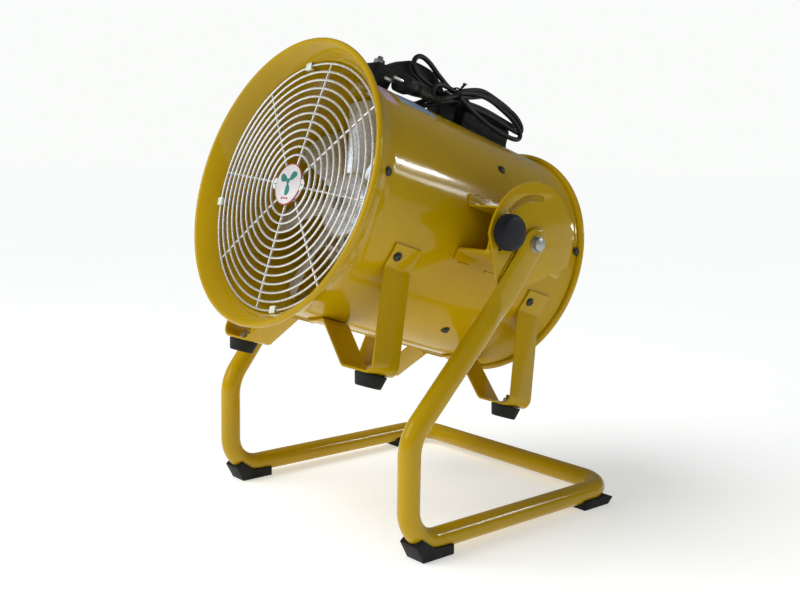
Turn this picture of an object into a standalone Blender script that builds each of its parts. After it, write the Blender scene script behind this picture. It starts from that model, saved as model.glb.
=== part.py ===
"""Portable axial ventilator: a steel drum with a bell mouth, tilting on a bent-tube cradle stand.

Metres, +Z up, the bell mouth faces -Y. The floor is z = 0. Drum parts are written in the drum's own
frame, whose origin is the tilt pivot: s runs forward along the drum's axis, up is square to it.
"""

import math

import bmesh
import bpy
from mathutils import Euler, Matrix, Vector

# ---- Clearances -------------------------------------------------------------------------------
GAP = 0.0003            # between pieces that touch
BOLT_CLEARANCE = 0.0004  # round a bolt or a stud in its hole

# ---- Tilt pivot -------------------------------------------------------------------------------
PIVOT_Y = 0.0422
PIVOT_Z = 0.376
TILT = math.radians(17.2)   # nose up, as the drum stands at rest

# ---- Stand ------------------------------------------------------------------------------------
TUBE_R = 0.014
RAIL_X = 0.200
PAD = 0.006                 # rubber under the tube
RAIL_Z = PAD + TUBE_R
POST_Y = -0.1865            # from the pivot
REAR_RAIL_Y = 0.195         # from the pivot
KNEE_Z = 0.152
BOTTOM_BEND_R = 0.045
KNEE_BEND_R = 0.060
LOBE_THICKNESS = 0.007      # the tube's flattened ends
LOBE_WIDEN = 1.36
LOBE_END_R = 0.0205
LOBE_LENGTH = 0.082         # fully flat, measured from the pivot
LOBE_BLEND = 0.050          # from flat back to round

# ---- Sector plates ----------------------------------------------------------------------------
PLATE_R = 0.0775
PLATE_THICKNESS = 0.004
SLOT_R = 0.0575
SLOT_REAR_ANGLE = math.radians(76)    # stud's last place, from the rear towards up
SLOT_FRONT_ANGLE = math.radians(180)  # stud's place with the drum level

# ---- Stand feet -------------------------------------------------------------------------------
FOOT_WIDTH = 0.033
FOOT_LENGTH = 0.062
FOOT_SIDE_Z = 0.0130
FOOT_FLAP_Z = 0.030

# ---- Drum shell -------------------------------------------------------------------------------
BODY_R = 0.159
WALL = 0.0015
FLARE_START = 0.195         # s
BELL_ROLL_R = 0.184
BELL_ROLL = 0.004
BELL_END = 0.250            # s of the bell's front edge
REAR_ROLL_R = 0.163
REAR_ROLL = 0.0045
REAR_END = -0.1635          # s of the drum's rear edge
INNER_R = BODY_R - WALL

# ---- Side brackets, pivot bolts and clamp knobs -------------------------------------------------
BRACKET_X = 0.2095          # outer face of the web
BRACKET_SHEET = 0.0025
BRACKET_HALF_HEIGHT = 0.029
BRACKET_HALF_LENGTH = 0.070
PIVOT_BOLT_R = 0.005
STUD_R = 0.004
KNOB_R = 0.0225
KNOB_BOSS_R = 0.011
KNOB_BOSS = 0.006
KNOB_DEPTH = 0.018

# ---- Guards -----------------------------------------------------------------------------------
WIRE_R = 0.0016
GRILLE_S = 0.2256
GRILLE_R = 0.162
GRILLE_INNER_R = 0.0395
GRILLE_RINGS = 12
GRILLE_DOME = 0.0045
SPOKES = 8
SPOKE_ANGLE = math.radians(-5)
CLIP_ANGLE = math.radians(10)
CLIPS = 4
BADGE_R = 0.027
GUARD_S = -0.148
GUARD_R = 0.1548
GUARD_INNER_R = 0.044
GUARD_RINGS = 7

# ---- Motor and impeller -------------------------------------------------------------------------
MOTOR_R = 0.058
MOTOR_WALL = 0.004
MOTOR_HALF_LENGTH = 0.055
SHIELD = 0.008
BEARING_R = 0.016
BEARING_WIDTH = 0.010
SHAFT_R = 0.008
STATOR_HALF_LENGTH = 0.034
ROTOR_R = 0.033
AIR_GAP = 0.0006
ARM_ANGLE = math.radians(38)
ARMS = 4
ARM_SHEET = 0.003
MOUNT_WIDTH = 0.050
MOUNT_S = -0.003
HUB_R = 0.046
HUB_REAR_S = 0.098
HUB_LENGTH = 0.048
BLADES = 8
BLADE_TIP_R = 0.150
BLADE_SHEET = 0.0026

# ---- Handle and terminal box --------------------------------------------------------------------
HANDLE_MID_S = 0.077
HANDLE_HALF_LENGTH = 0.079
HANDLE_WIDTH = 0.028
HANDLE_LAND = 0.194         # height of the flat under each bolt head
HANDLE_TOP = 0.2175
HANDLE_UNDERSIDE = 0.1945
HANDLE_BOLT_S = 0.0640      # from the handle's middle
BOX_FRONT_S = -0.008
BOX_REAR_S = -0.105
BOX_HALF_WIDTH = 0.024
BOX_WALL = 0.0025
BOX_RIM = 0.184
LID_TOP = 0.192
GLAND_X = -0.008
GLAND_UP = 0.1710
GLAND_R = 0.009
GLAND_LENGTH = 0.013

# ---- Drum foot brackets -------------------------------------------------------------------------
STRIP = 0.003
STRIP_WIDTH = 0.042
FRONT_STRIP_S = 0.166       # front edge of the front brackets
REAR_STRIP_S = -0.083       # front edge of the rear brackets
STRIP_DEPTH = 0.2055        # underside of the strip, below the drum's axis
CONE_X = 0.142
CONE_TOP_R = 0.0200
CONE_BOTTOM_R = 0.0155
CONE_HEIGHT = 0.0165

# ---- Cord -------------------------------------------------------------------------------------
CORD_R = 0.0035
HANK_FRONT = (0.080, 0.2270)    # s, up of the centre of the hank's front end
HANK_REAR = (-0.117, 0.1990)
HANK_HALF_DEPTH = 0.007
HANK_HALF_WIDTH = 0.021
HANK_X = 0.012
TIE_S = 0.018
TIE_WIDTH = 0.006
TIE_THICKNESS = 0.0012
PLUG_X = 0.0370
PLUG_UP = 0.1720
PLUG_FRONT_S = 0.128
PLUG_LENGTH = 0.050
PIN_R = 0.0024
PIN_LENGTH = 0.019
PIN_HALF_SPACING = 0.0095

TURNED_STEPS = 36
SHELL_STEPS = 52


# ---- Scene and materials ------------------------------------------------------------------------

def clear_scene():
    for obj in list(bpy.data.objects):
        bpy.data.objects.remove(obj, do_unlink=True)


def new_collection(name):
    collection = bpy.data.collections.new(name)
    bpy.context.scene.collection.children.link(collection)
    return collection


def new_material(name, colour, roughness, metallic=0.0):
    made = bpy.data.materials.new(name)
    made.use_nodes = True
    shader = made.node_tree.nodes["Principled BSDF"]
    shader.inputs["Base Color"].default_value = (*colour, 1.0)
    shader.inputs["Roughness"].default_value = roughness
    shader.inputs["Metallic"].default_value = metallic
    return made


clear_scene()
PARTS = new_collection("axial_air_mover")
CUTTERS = new_collection("cutters")

YELLOW_PAINT = ("yellow_paint", (0.52, 0.33, 0.01), 0.28)
BLACK_RUBBER = ("black_rubber", (0.012, 0.013, 0.015), 0.75)
BLACK_PLASTIC = ("black_plastic", (0.018, 0.019, 0.022), 0.45)
BRIGHT_WIRE = ("bright_wire", (0.78, 0.78, 0.76), 0.22, 1.0)
ZINC = ("zinc_steel", (0.62, 0.63, 0.62), 0.35, 1.0)
CAST_ALUMINIUM = ("cast_aluminium", (0.60, 0.62, 0.66), 0.42, 1.0)
DARK_STEEL = ("dark_steel", (0.20, 0.20, 0.21), 0.45, 1.0)
GREY_PAINT = ("grey_paint", (0.16, 0.17, 0.18), 0.5)
WHITE_ENAMEL = ("white_enamel", (0.80, 0.76, 0.75), 0.3)
CORD_BLACK = ("cord_black", (0.014, 0.014, 0.016), 0.5)
BRASS = ("nickel_brass", (0.75, 0.72, 0.62), 0.25, 1.0)


# ---- Frames -------------------------------------------------------------------------------------

def new_empty(name, location, rotation=(0.0, 0.0, 0.0), parent=None):
    empty = bpy.data.objects.new(name, None)
    PARTS.objects.link(empty)
    empty.location = location
    empty.rotation_euler = rotation
    empty.parent = parent
    return empty


STAND_FRAME = new_empty("stand_frame", (0.0, PIVOT_Y, 0.0))
DRUM_FRAME = new_empty("drum_frame", (0.0, PIVOT_Y, PIVOT_Z), (-TILT, 0.0, 0.0))
ALONG_AXIS = (math.radians(90), 0.0, 0.0)       # local Z to drum forward
SIDE_VIEW = (math.radians(90), 0.0, math.radians(90))   # local X, Y, Z to +Y, +Z, +X


def drum_point(x, s, up):
    return Vector((x, -s, up))


# ---- Building blocks ----------------------------------------------------------------------------

def place(name, data, look, parent, location=(0.0, 0.0, 0.0), rotation=(0.0, 0.0, 0.0), smooth=True):
    """Adds one named part with its own material."""
    obj = bpy.data.objects.new(name, data)
    PARTS.objects.link(obj)
    obj.parent = parent
    obj.location = location
    obj.rotation_euler = rotation
    data.materials.clear()
    data.materials.append(new_material(name + "_" + look[0], *look[1:]))
    if isinstance(data, bpy.types.Mesh) and smooth:
        data.shade_smooth()
        data.set_sharp_from_angle(angle=math.radians(35))
    return obj


def mesh_from_curve(curve, name):
    """The solid of a curve as a welded mesh in the curve's own space."""
    holder = bpy.data.objects.new("curve_" + name, curve)
    bpy.context.scene.collection.objects.link(holder)
    graph = bpy.context.evaluated_depsgraph_get()
    mesh = bpy.data.meshes.new_from_object(holder.evaluated_get(graph))
    bpy.data.objects.remove(holder, do_unlink=True)
    weld(mesh)
    return mesh


def weld(mesh):
    shape = bmesh.new()
    shape.from_mesh(mesh)
    bmesh.ops.remove_doubles(shape, verts=shape.verts, dist=1e-6)
    bmesh.ops.recalc_face_normals(shape, faces=shape.faces)
    shape.to_mesh(mesh)
    shape.free()


def tube_curve(name, points, radius, sides=8, cyclic=False):
    curve = bpy.data.curves.new(name, "CURVE")
    curve.dimensions = "3D"
    curve.bevel_depth = radius
    curve.bevel_resolution = (sides - 4) // 2
    curve.use_fill_caps = not cyclic
    spline = curve.splines.new("POLY")
    spline.points.add(len(points) - 1)
    for target, point in zip(spline.points, points):
        target.co = (*point, 1.0)
    spline.use_cyclic_u = cyclic
    return curve


def tube_mesh(name, points, radius, sides=8, cyclic=False):
    return mesh_from_curve(tube_curve(name, points, radius, sides, cyclic), name)


def plate_mesh(name, loops, thickness, bevel=0.0):
    """A flat piece from closed 2D outlines, the later ones being holes."""
    curve = bpy.data.curves.new(name, "CURVE")
    curve.dimensions = "2D"
    curve.fill_mode = "BOTH"
    curve.extrude = thickness / 2 - bevel
    curve.bevel_depth = bevel
    curve.offset = -bevel
    curve.bevel_resolution = 0
    for loop in loops:
        spline = curve.splines.new("POLY")
        spline.points.add(len(loop) - 1)
        for target, (x, y) in zip(spline.points, loop):
            target.co = (x, y, 0.0, 1.0)
        spline.use_cyclic_u = True
    return mesh_from_curve(curve, name)


def turned(name, profile, look, parent, location=(0.0, 0.0, 0.0), rotation=ALONG_AXIS,
           steps=TURNED_STEPS, closed=True):
    """A turned piece. The profile is (radius, height) and runs down the outer side."""
    mesh = bpy.data.meshes.new(name)
    count = len(profile)
    edges = [(i, i + 1) for i in range(count - 1)]
    if closed:
        edges.append((count - 1, 0))
    mesh.from_pydata([(r, 0.0, h) for r, h in profile], edges, [])
    obj = place(name, mesh, look, parent, location, rotation, smooth=False)
    screw = obj.modifiers.new("turn", "SCREW")
    screw.steps = steps
    screw.render_steps = steps
    screw.use_merge_vertices = True
    screw.merge_threshold = 0.00005
    screw.use_smooth_shade = True
    return obj


def ring_profile(inner, outer, low, high):
    return [(outer, high), (outer, low), (inner, low), (inner, high)]


def disc_profile(radius, low, high, chamfer=0.0):
    if not chamfer:
        return [(0.0, high), (radius, high), (radius, low), (0.0, low)]
    return [(0.0, high), (radius - chamfer, high), (radius, high - chamfer),
            (radius, low + chamfer), (radius - chamfer, low), (0.0, low)]


def box_mesh(name, low, high, bevel=0.0, segments=2):
    """A box between two corners, with rounded edges if a bevel is given."""
    mesh = bpy.data.meshes.new(name)
    shape = bmesh.new()
    size = [b - a for a, b in zip(low, high)]
    middle = [(a + b) / 2 for a, b in zip(low, high)]
    bmesh.ops.create_cube(shape, size=1.0, matrix=Matrix.Translation(middle) @ Matrix.Diagonal((*size, 1.0)))
    if bevel:
        bmesh.ops.bevel(shape, geom=shape.edges[:], offset=bevel, segments=segments, affect="EDGES",
                        profile=0.5)
    shape.to_mesh(mesh)
    shape.free()
    return mesh


def cylinder_mesh(name, radius, low, high, sides=24):
    mesh = bpy.data.meshes.new(name)
    shape = bmesh.new()
    bmesh.ops.create_cone(shape, cap_ends=True, segments=sides, radius1=radius, radius2=radius,
                          depth=high - low, matrix=Matrix.Translation((0.0, 0.0, (low + high) / 2)))
    shape.to_mesh(mesh)
    shape.free()
    return mesh


def cutter(name, mesh, parent, location=(0.0, 0.0, 0.0), rotation=(0.0, 0.0, 0.0)):
    obj = bpy.data.objects.new(name, mesh)
    CUTTERS.objects.link(obj)
    obj.parent = parent
    obj.location = location
    obj.rotation_euler = rotation
    obj.hide_render = True
    obj.display_type = "WIRE"
    return obj


def cut(target, tool):
    modifier = target.modifiers.new("cut_" + tool.name, "BOOLEAN")
    modifier.operation = "DIFFERENCE"
    modifier.solver = "EXACT"
    modifier.object = tool


def join(target, tool):
    modifier = target.modifiers.new("join_" + tool.name, "BOOLEAN")
    modifier.operation = "UNION"
    modifier.solver = "EXACT"
    modifier.object = tool


def arc(centre, radius, start, end, steps):
    """Points on a circle from one angle to the other, both ends included."""
    angles = [start + (end - start) * i / steps for i in range(steps + 1)]
    return [(centre[0] + radius * math.cos(a), centre[1] + radius * math.sin(a)) for a in angles]


def rounded(points, radii, steps=8):
    """An open path whose inner corners are replaced by arcs of the radii given, in 2D or 3D."""
    path = [Vector(points[0])]
    for before, corner, after, radius in zip(points, points[1:], points[2:], radii):
        corner = Vector(corner)
        back = (Vector(before) - corner).normalized()
        ahead = (Vector(after) - corner).normalized()
        half = back.angle(ahead) / 2
        middle = corner + (back + ahead).normalized() * (radius / math.sin(half))
        start = corner + back * (radius / math.tan(half)) - middle
        end = corner + ahead * (radius / math.tan(half)) - middle
        sweep = start.angle(end)
        for i in range(steps + 1):
            t = i / steps
            mixed = start * math.sin((1 - t) * sweep) + end * math.sin(t * sweep)
            path.append(middle + mixed / math.sin(sweep))
    path.append(Vector(points[-1]))
    return path


def strip_outline(path, thickness):
    """The closed outline of a bent strip, from its middle line in 2D."""
    left = []
    right = []
    for i, point in enumerate(path):
        before = path[max(i - 1, 0)]
        after = path[min(i + 1, len(path) - 1)]
        first = (point - before).normalized() if i else (after - point).normalized()
        second = (after - point).normalized() if i < len(path) - 1 else first
        along = (first + second).normalized()
        normal = Vector((-along.y, along.x))
        reach = thickness / 2 / max(along.dot(first), 0.3)
        left.append(tuple(point + normal * reach))
        right.append(tuple(point - normal * reach))
    return left + right[::-1]


def on_drum(radius, angle):
    return Vector((radius * math.cos(angle), radius * math.sin(angle)))


def hexagon(radius):
    return [(radius * math.cos(math.radians(60 * i)), radius * math.sin(math.radians(60 * i)))
            for i in range(6)]


def hex_bolt(name, across, head, shank_r, shank, look, parent, location, rotation):
    """A bolt along local Z: the head stands on z = 0 and the shank runs down from it."""
    mesh = plate_mesh(name, [hexagon(across / math.sqrt(3))], head)
    mesh.transform(Matrix.Translation((0.0, 0.0, head / 2)))
    bolt = place(name, mesh, look, parent, location, rotation, smooth=False)
    stem = cutter(name + "_stem", cylinder_mesh(name + "_stem", shank_r, -shank, head / 2, 16),
                  parent, location, rotation)
    join(bolt, stem)
    return bolt


# ---- Stand --------------------------------------------------------------------------------------

LOBE_X = BRACKET_X + GAP + PLATE_THICKNESS + GAP + LOBE_THICKNESS / 2


def leg_path():
    """The right-hand leg's corner points in the stand's frame, from its flattened end down."""
    knee = Vector((RAIL_X, POST_Y, KNEE_Z))
    pivot = Vector((LOBE_X, 0.0, PIVOT_Z))
    blend_end = Vector((LOBE_X, *(pivot + (knee - pivot).normalized() * LOBE_LENGTH).yz))
    return knee, pivot, blend_end


def stand_points(extra):
    """The whole bent tube from one flattened end to the other."""
    knee, pivot, straight_end = leg_path()
    direction = (pivot - straight_end).normalized()
    tip = pivot + direction * (LOBE_END_R - 0.0004 + extra)
    corners = [straight_end, knee, (RAIL_X, POST_Y, RAIL_Z), (RAIL_X, REAR_RAIL_Y, RAIL_Z),
               (0.0, REAR_RAIL_Y, RAIL_Z)]
    half = rounded(corners, [KNEE_BEND_R, BOTTOM_BEND_R, BOTTOM_BEND_R])
    after_end = half[1]
    blend = [straight_end.lerp(after_end, k / 8) for k in range(1, 7)]
    nose = [tip, pivot + direction * (LOBE_END_R * 0.90), pivot + direction * (LOBE_END_R * 0.62),
            pivot + direction * (LOBE_END_R * 0.30), pivot]
    right = nose + [straight_end] + blend + half[1:-1]
    left = [Vector((-p.x, p.y, p.z)) for p in reversed(right)]
    return right + left


def flatten_ends(mesh):
    """Presses the tube's two ends flat and rounds their outline about the pivot."""
    knee, pivot, straight_end = leg_path()
    direction = (pivot - straight_end).normalized()
    across = direction.cross(Vector((1.0, 0.0, 0.0))).normalized()
    thin = LOBE_THICKNESS / 2 / TUBE_R
    for vertex in mesh.vertices:
        side = 1.0 if vertex.co.x > 0 else -1.0
        point = Vector((abs(vertex.co.x), vertex.co.y, vertex.co.z))
        below = -(point - pivot).dot(direction)
        if point.z < KNEE_Z or below > LOBE_LENGTH + LOBE_BLEND:
            continue
        t = min(max((LOBE_LENGTH + LOBE_BLEND - below) / LOBE_BLEND, 0.0), 1.0)
        t = t * t * (3 - 2 * t)
        lean = max(below - LOBE_LENGTH, 0.0) / ((knee - pivot).length - LOBE_LENGTH)
        middle_x = LOBE_X + (RAIL_X - LOBE_X) * lean
        width = (point - pivot).dot(across)
        new_width = width * (1 + (LOBE_WIDEN - 1) * t)
        if below < 0:
            room = math.sqrt(max(LOBE_END_R ** 2 - below ** 2, 0.0)) / LOBE_END_R
            new_width *= max(room, 0.12)
        new_x = middle_x + (point.x - middle_x) * (1 + (thin - 1) * t)
        moved = Vector((new_x, *(point + across * (new_width - width)).yz))
        vertex.co = (side * moved.x, moved.y, moved.z)


def make_stand():
    mesh = tube_mesh("stand_tube", stand_points(0.0), TUBE_R, sides=12)
    flatten_ends(mesh)
    tube = place("stand_tube", mesh, YELLOW_PAINT, STAND_FRAME)
    drill = cylinder_mesh("pivot_drill", PIVOT_BOLT_R + BOLT_CLEARANCE, -0.30, 0.30, 24)
    cut(tube, cutter("pivot_drill", drill, STAND_FRAME, (0.0, 0.0, PIVOT_Z), (0.0, math.radians(90), 0.0)))


def slot_outline():
    half_width = STUD_R + BOLT_CLEARANCE
    centre = (0.0, 0.0)
    front = (SLOT_R * math.cos(SLOT_FRONT_ANGLE), SLOT_R * math.sin(SLOT_FRONT_ANGLE))
    rear = (SLOT_R * math.cos(SLOT_REAR_ANGLE), SLOT_R * math.sin(SLOT_REAR_ANGLE))
    front_end = SLOT_FRONT_ANGLE + math.radians(2)
    rear_end = SLOT_REAR_ANGLE - math.radians(2)
    outer = arc(centre, SLOT_R + half_width, rear_end, front_end, 16)
    cap_front = arc(front, half_width, front_end, front_end + math.pi, 6)[1:-1]
    inner = arc(centre, SLOT_R - half_width, front_end, rear_end, 16)
    cap_rear = arc(rear, half_width, rear_end + math.pi, rear_end + 2 * math.pi, 6)[1:-1]
    turn_front = Matrix.Rotation(math.radians(2), 2)
    cap_front = [tuple(turn_front @ Vector(p)) for p in cap_front]
    cap_rear = [tuple(turn_front.inverted() @ Vector(p)) for p in cap_rear]
    return outer + cap_front + inner + cap_rear


def make_sector_plates():
    top = arc((0.0, 0.0), PLATE_R, math.radians(-25), math.radians(168), 28)
    down_leg = Vector((POST_Y, KNEE_Z - PIVOT_Z)).normalized()
    front_foot = down_leg * (PLATE_R * 1.02)
    outline = top + [(-PLATE_R * 0.864, -PLATE_R * 0.28), (front_foot.x - 0.009, front_foot.y + 0.012),
                     (front_foot.x + 0.006, front_foot.y - 0.002), (PLATE_R * 0.1, -PLATE_R * 0.64)]
    hole = arc((0.0, 0.0), PIVOT_BOLT_R + BOLT_CLEARANCE, 0.0, math.radians(345), 23)
    middle = BRACKET_X + GAP + PLATE_THICKNESS / 2
    for side, name in ((1, "sector_plate_right"), (-1, "sector_plate_left")):
        mesh = plate_mesh(name, [outline, slot_outline(), hole], PLATE_THICKNESS)
        place(name, mesh, YELLOW_PAINT, STAND_FRAME, (side * middle, 0.0, PIVOT_Z), SIDE_VIEW)


def make_stand_feet():
    """Rubber saddles under the four corners; each has a flap that follows the tube's bend."""
    points = stand_points(0.0)
    tube = cutter("foot_tube", tube_mesh("foot_tube", points, TUBE_R + GAP, sides=12), STAND_FRAME)
    front_y = POST_Y + 0.0005
    for end, base_y, direction in (("front", front_y, 1), ("rear", REAR_RAIL_Y - 0.006, -1)):
        side_profile = [(0.012, 0.0), (FOOT_LENGTH, 0.0), (FOOT_LENGTH, FOOT_SIDE_Z)]
        if end == "front":
            side_profile += [(0.030, FOOT_SIDE_Z + 0.002), (0.010, FOOT_FLAP_Z), (0.0, FOOT_FLAP_Z - 0.008)]
        else:
            side_profile += [(0.014, FOOT_SIDE_Z), (0.002, FOOT_SIDE_Z - 0.004)]
        outline = [(base_y + direction * y, z) for y, z in side_profile]
        for side, hand in ((1, "right"), (-1, "left")):
            name = "stand_foot_" + end + "_" + hand
            mesh = plate_mesh(name, [outline], FOOT_WIDTH, bevel=0.0012)
            foot = place(name, mesh, BLACK_RUBBER, STAND_FRAME, (side * RAIL_X, 0.0, 0.0), SIDE_VIEW)
            cut(foot, tube)


# ---- Drum ---------------------------------------------------------------------------------------

def flare(s):
    """Outer radius of the bell at s."""
    length = BELL_END - BELL_ROLL * 2 - FLARE_START
    t = (s - FLARE_START) / length
    return BODY_R + (BELL_ROLL_R - BODY_R - 0.0025) * t * t


def make_shell():
    front = (BELL_ROLL_R, BELL_END - BELL_ROLL)
    rear = (REAR_ROLL_R, REAR_END + REAR_ROLL)
    bell_stations = [FLARE_START + (BELL_END - BELL_ROLL * 2 - FLARE_START) * i / 5 for i in range(6)]
    front_roll = arc(front, BELL_ROLL, math.radians(170), math.radians(-110), 6)
    outer_bell = [(flare(s), s) for s in reversed(bell_stations[:-1])]
    groove = [(BODY_R, REAR_END + 0.0165), (BODY_R + 0.0015, REAR_END + 0.0120)]
    rear_roll = arc(rear, REAR_ROLL, math.radians(125), math.radians(-170), 6)
    inner_rear = [(INNER_R + 0.0015, REAR_END + 0.0085), (INNER_R, REAR_END + 0.0155)]
    inner_bell = [(flare(s) - WALL * (1 + 0.35 * i / 5), s) for i, s in enumerate(bell_stations)]
    profile = front_roll + outer_bell + groove + rear_roll + inner_rear + inner_bell
    shell = turned("drum_shell", profile, YELLOW_PAINT, DRUM_FRAME, steps=SHELL_STEPS)
    for end in (-1, 1):
        s = HANDLE_MID_S + end * HANDLE_BOLT_S
        drill = cylinder_mesh("handle_drill", STUD_R + BOLT_CLEARANCE, BODY_R - 0.02, BODY_R + 0.02, 16)
        cut(shell, cutter("shell_drill_" + str(end), drill, DRUM_FRAME, drum_point(0.0, s, 0.0)))


def make_side_brackets():
    """Hat-section stand-offs that carry the pivot bolt and the clamp stud."""
    seat = BODY_R + GAP + BRACKET_SHEET / 2
    root = math.asin(BRACKET_HALF_HEIGHT / seat)
    lip_angles = [root + math.radians(1 + k * 2.0) for k in range(3)]
    web = BRACKET_X - BRACKET_SHEET / 2
    flange = BRACKET_HALF_HEIGHT - BRACKET_SHEET / 2
    upper = [on_drum(seat, a) for a in reversed(lip_angles)]
    corners = [Vector((seat * math.cos(root) + 0.002, flange)), Vector((web, flange)),
               Vector((web, -flange)), Vector((seat * math.cos(root) + 0.002, -flange))]
    bends = rounded([tuple(upper[-1])] + [tuple(c) for c in corners] + [(upper[-1].x, -upper[-1].y)],
                    [0.0015, 0.004, 0.004, 0.0015], steps=3)
    lower = [Vector((p.x, -p.y)) for p in reversed(upper)]
    path = upper[:-1] + bends + lower[1:]
    outline = strip_outline(path, BRACKET_SHEET)
    for side, hand in ((1, "right"), (-1, "left")):
        name = "side_bracket_" + hand
        points = [(side * x, y) for x, y in outline]
        bracket = place(name, plate_mesh(name, [points], 2 * BRACKET_HALF_LENGTH), YELLOW_PAINT,
                        DRUM_FRAME, rotation=ALONG_AXIS)
        for s, radius, use in ((0.0, PIVOT_BOLT_R, "pivot"), (SLOT_R, STUD_R, "stud")):
            drill = cylinder_mesh(use + "_web_drill", radius + BOLT_CLEARANCE, -0.01, 0.01, 24)
            hole = cutter("web_" + use + "_" + hand, drill, DRUM_FRAME, drum_point(side * web, s, 0.0),
                          (0.0, math.radians(90), 0.0))
            cut(bracket, hole)


def make_foot_brackets():
    """Bent strips under the drum, each with a cone-shaped rubber foot."""
    seat = BODY_R + GAP + STRIP / 2
    bottom = -(STRIP_DEPTH - STRIP / 2)
    upper = [on_drum(seat, math.radians(a)) for a in (-17, -21, -25)]
    leave = on_drum(seat, math.radians(-28))
    inner_end = on_drum(seat + 0.0004, math.radians(-72))
    lower = [on_drum(seat + 0.0002, math.radians(a)) for a in (-75, -79, -83)]
    corners = [leave, Vector((0.1665, bottom)), Vector((0.1090, bottom)), inner_end, lower[0]]
    bends = rounded([tuple(upper[-1])] + [tuple(c) for c in corners], [0.006, 0.012, 0.012, 0.006], steps=5)
    outline = strip_outline(upper[:-1] + bends + lower[1:], STRIP)
    cone = [(0.0, 0.0), (CONE_TOP_R, 0.0), (CONE_TOP_R, -0.002), (CONE_BOTTOM_R + 0.001, -CONE_HEIGHT + 0.001),
            (CONE_BOTTOM_R, -CONE_HEIGHT), (0.0, -CONE_HEIGHT)]
    for end, front_edge in (("front", FRONT_STRIP_S), ("rear", REAR_STRIP_S)):
        middle = front_edge - STRIP_WIDTH / 2
        for side, hand in ((1, "right"), (-1, "left")):
            name = "foot_bracket_" + end + "_" + hand
            points = [(side * x, y) for x, y in outline]
            place(name, plate_mesh(name, [points], STRIP_WIDTH), YELLOW_PAINT, DRUM_FRAME,
                  drum_point(0.0, middle, 0.0), ALONG_AXIS)
            turned("rubber_foot_" + end + "_" + hand, cone, BLACK_RUBBER, DRUM_FRAME,
                   drum_point(side * CONE_X, middle, -STRIP_DEPTH - GAP), (0.0, 0.0, 0.0), 28, closed=False)


# ---- Guards -------------------------------------------------------------------------------------

def ring_points(radius, height, count):
    return [(radius * math.cos(2 * math.pi * i / count), radius * math.sin(2 * math.pi * i / count), height)
            for i in range(count)]


def make_wire_guard(name, outer, inner, rings, s, dome, look):
    """Concentric rings of wire welded in front of straight spokes."""
    sink = WIRE_R * 1.5

    def height(radius):
        return dome * (1 - (radius / outer) ** 2)

    spoke_radii = [inner * 0.55 + (outer - inner * 0.55) * k / 4 for k in range(5)]
    hub = cylinder_mesh(name, inner * 0.60, height(0.0) - sink - WIRE_R, height(0.0) - sink + WIRE_R, 24)
    guard = place(name, hub, look, DRUM_FRAME, drum_point(0.0, s, 0.0), ALONG_AXIS)
    wires = bpy.data.collections.new(name + "_wires")
    CUTTERS.children.link(wires)
    wires.hide_render = True
    for i in range(SPOKES):
        angle = SPOKE_ANGLE + 2 * math.pi * i / SPOKES
        points = [(r * math.cos(angle), r * math.sin(angle), height(r) - sink) for r in spoke_radii]
        wire_object(wires, name + "_spoke_" + str(i), tube_mesh("spoke", points, WIRE_R, 4), guard)
    for i in range(rings):
        radius = inner + (outer - inner) * i / (rings - 1)
        count = max(16, round(radius * 180))
        mesh = tube_mesh("ring", ring_points(radius, height(radius), count), WIRE_R, 4, cyclic=True)
        wire_object(wires, name + "_ring_" + str(i), mesh, guard)
    union = guard.modifiers.new("welds", "BOOLEAN")
    union.operation = "UNION"
    union.solver = "EXACT"
    union.operand_type = "COLLECTION"
    union.collection = wires


def wire_object(collection, name, mesh, like):
    obj = bpy.data.objects.new(name, mesh)
    collection.objects.link(obj)
    obj.parent = like.parent
    obj.location = like.location
    obj.rotation_euler = like.rotation_euler
    obj.hide_render = True
    obj.display_type = "WIRE"


def make_grille():
    make_wire_guard("front_grille", GRILLE_R, GRILLE_INNER_R, GRILLE_RINGS, GRILLE_S, GRILLE_DOME, BRIGHT_WIRE)
    make_wire_guard("rear_guard", GUARD_R, GUARD_INNER_R, GUARD_RINGS, GUARD_S, 0.0, BRIGHT_WIRE)
    clip_low = GRILLE_R - 0.0050
    clip_high = flare(GRILLE_S) - WALL - 0.0011
    for i in range(CLIPS):
        angle = CLIP_ANGLE + 2 * math.pi * i / CLIPS
        front = WIRE_R + GAP
        mesh = box_mesh("grille_clip", (clip_low, -0.0055, front), (clip_high, 0.0055, front + 0.0016), 0.0004, 1)
        turn = Euler(ALONG_AXIS).to_matrix() @ Matrix.Rotation(angle, 3, "Z")
        place("grille_clip_" + str(i + 1), mesh, ZINC, DRUM_FRAME, drum_point(0.0, GRILLE_S, 0.0),
              turn.to_euler())
    back = GRILLE_S + GRILLE_DOME + WIRE_R + GAP
    badge = [(0.0, back + 0.0022), (BADGE_R * 0.5, back + 0.0020), (BADGE_R - 0.0012, back + 0.0014),
             (BADGE_R, back + 0.0008), (BADGE_R, back), (0.0, back)]
    turned("badge", badge, WHITE_ENAMEL, DRUM_FRAME, closed=False, steps=36)


# ---- Motor and impeller ---------------------------------------------------------------------------

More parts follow.
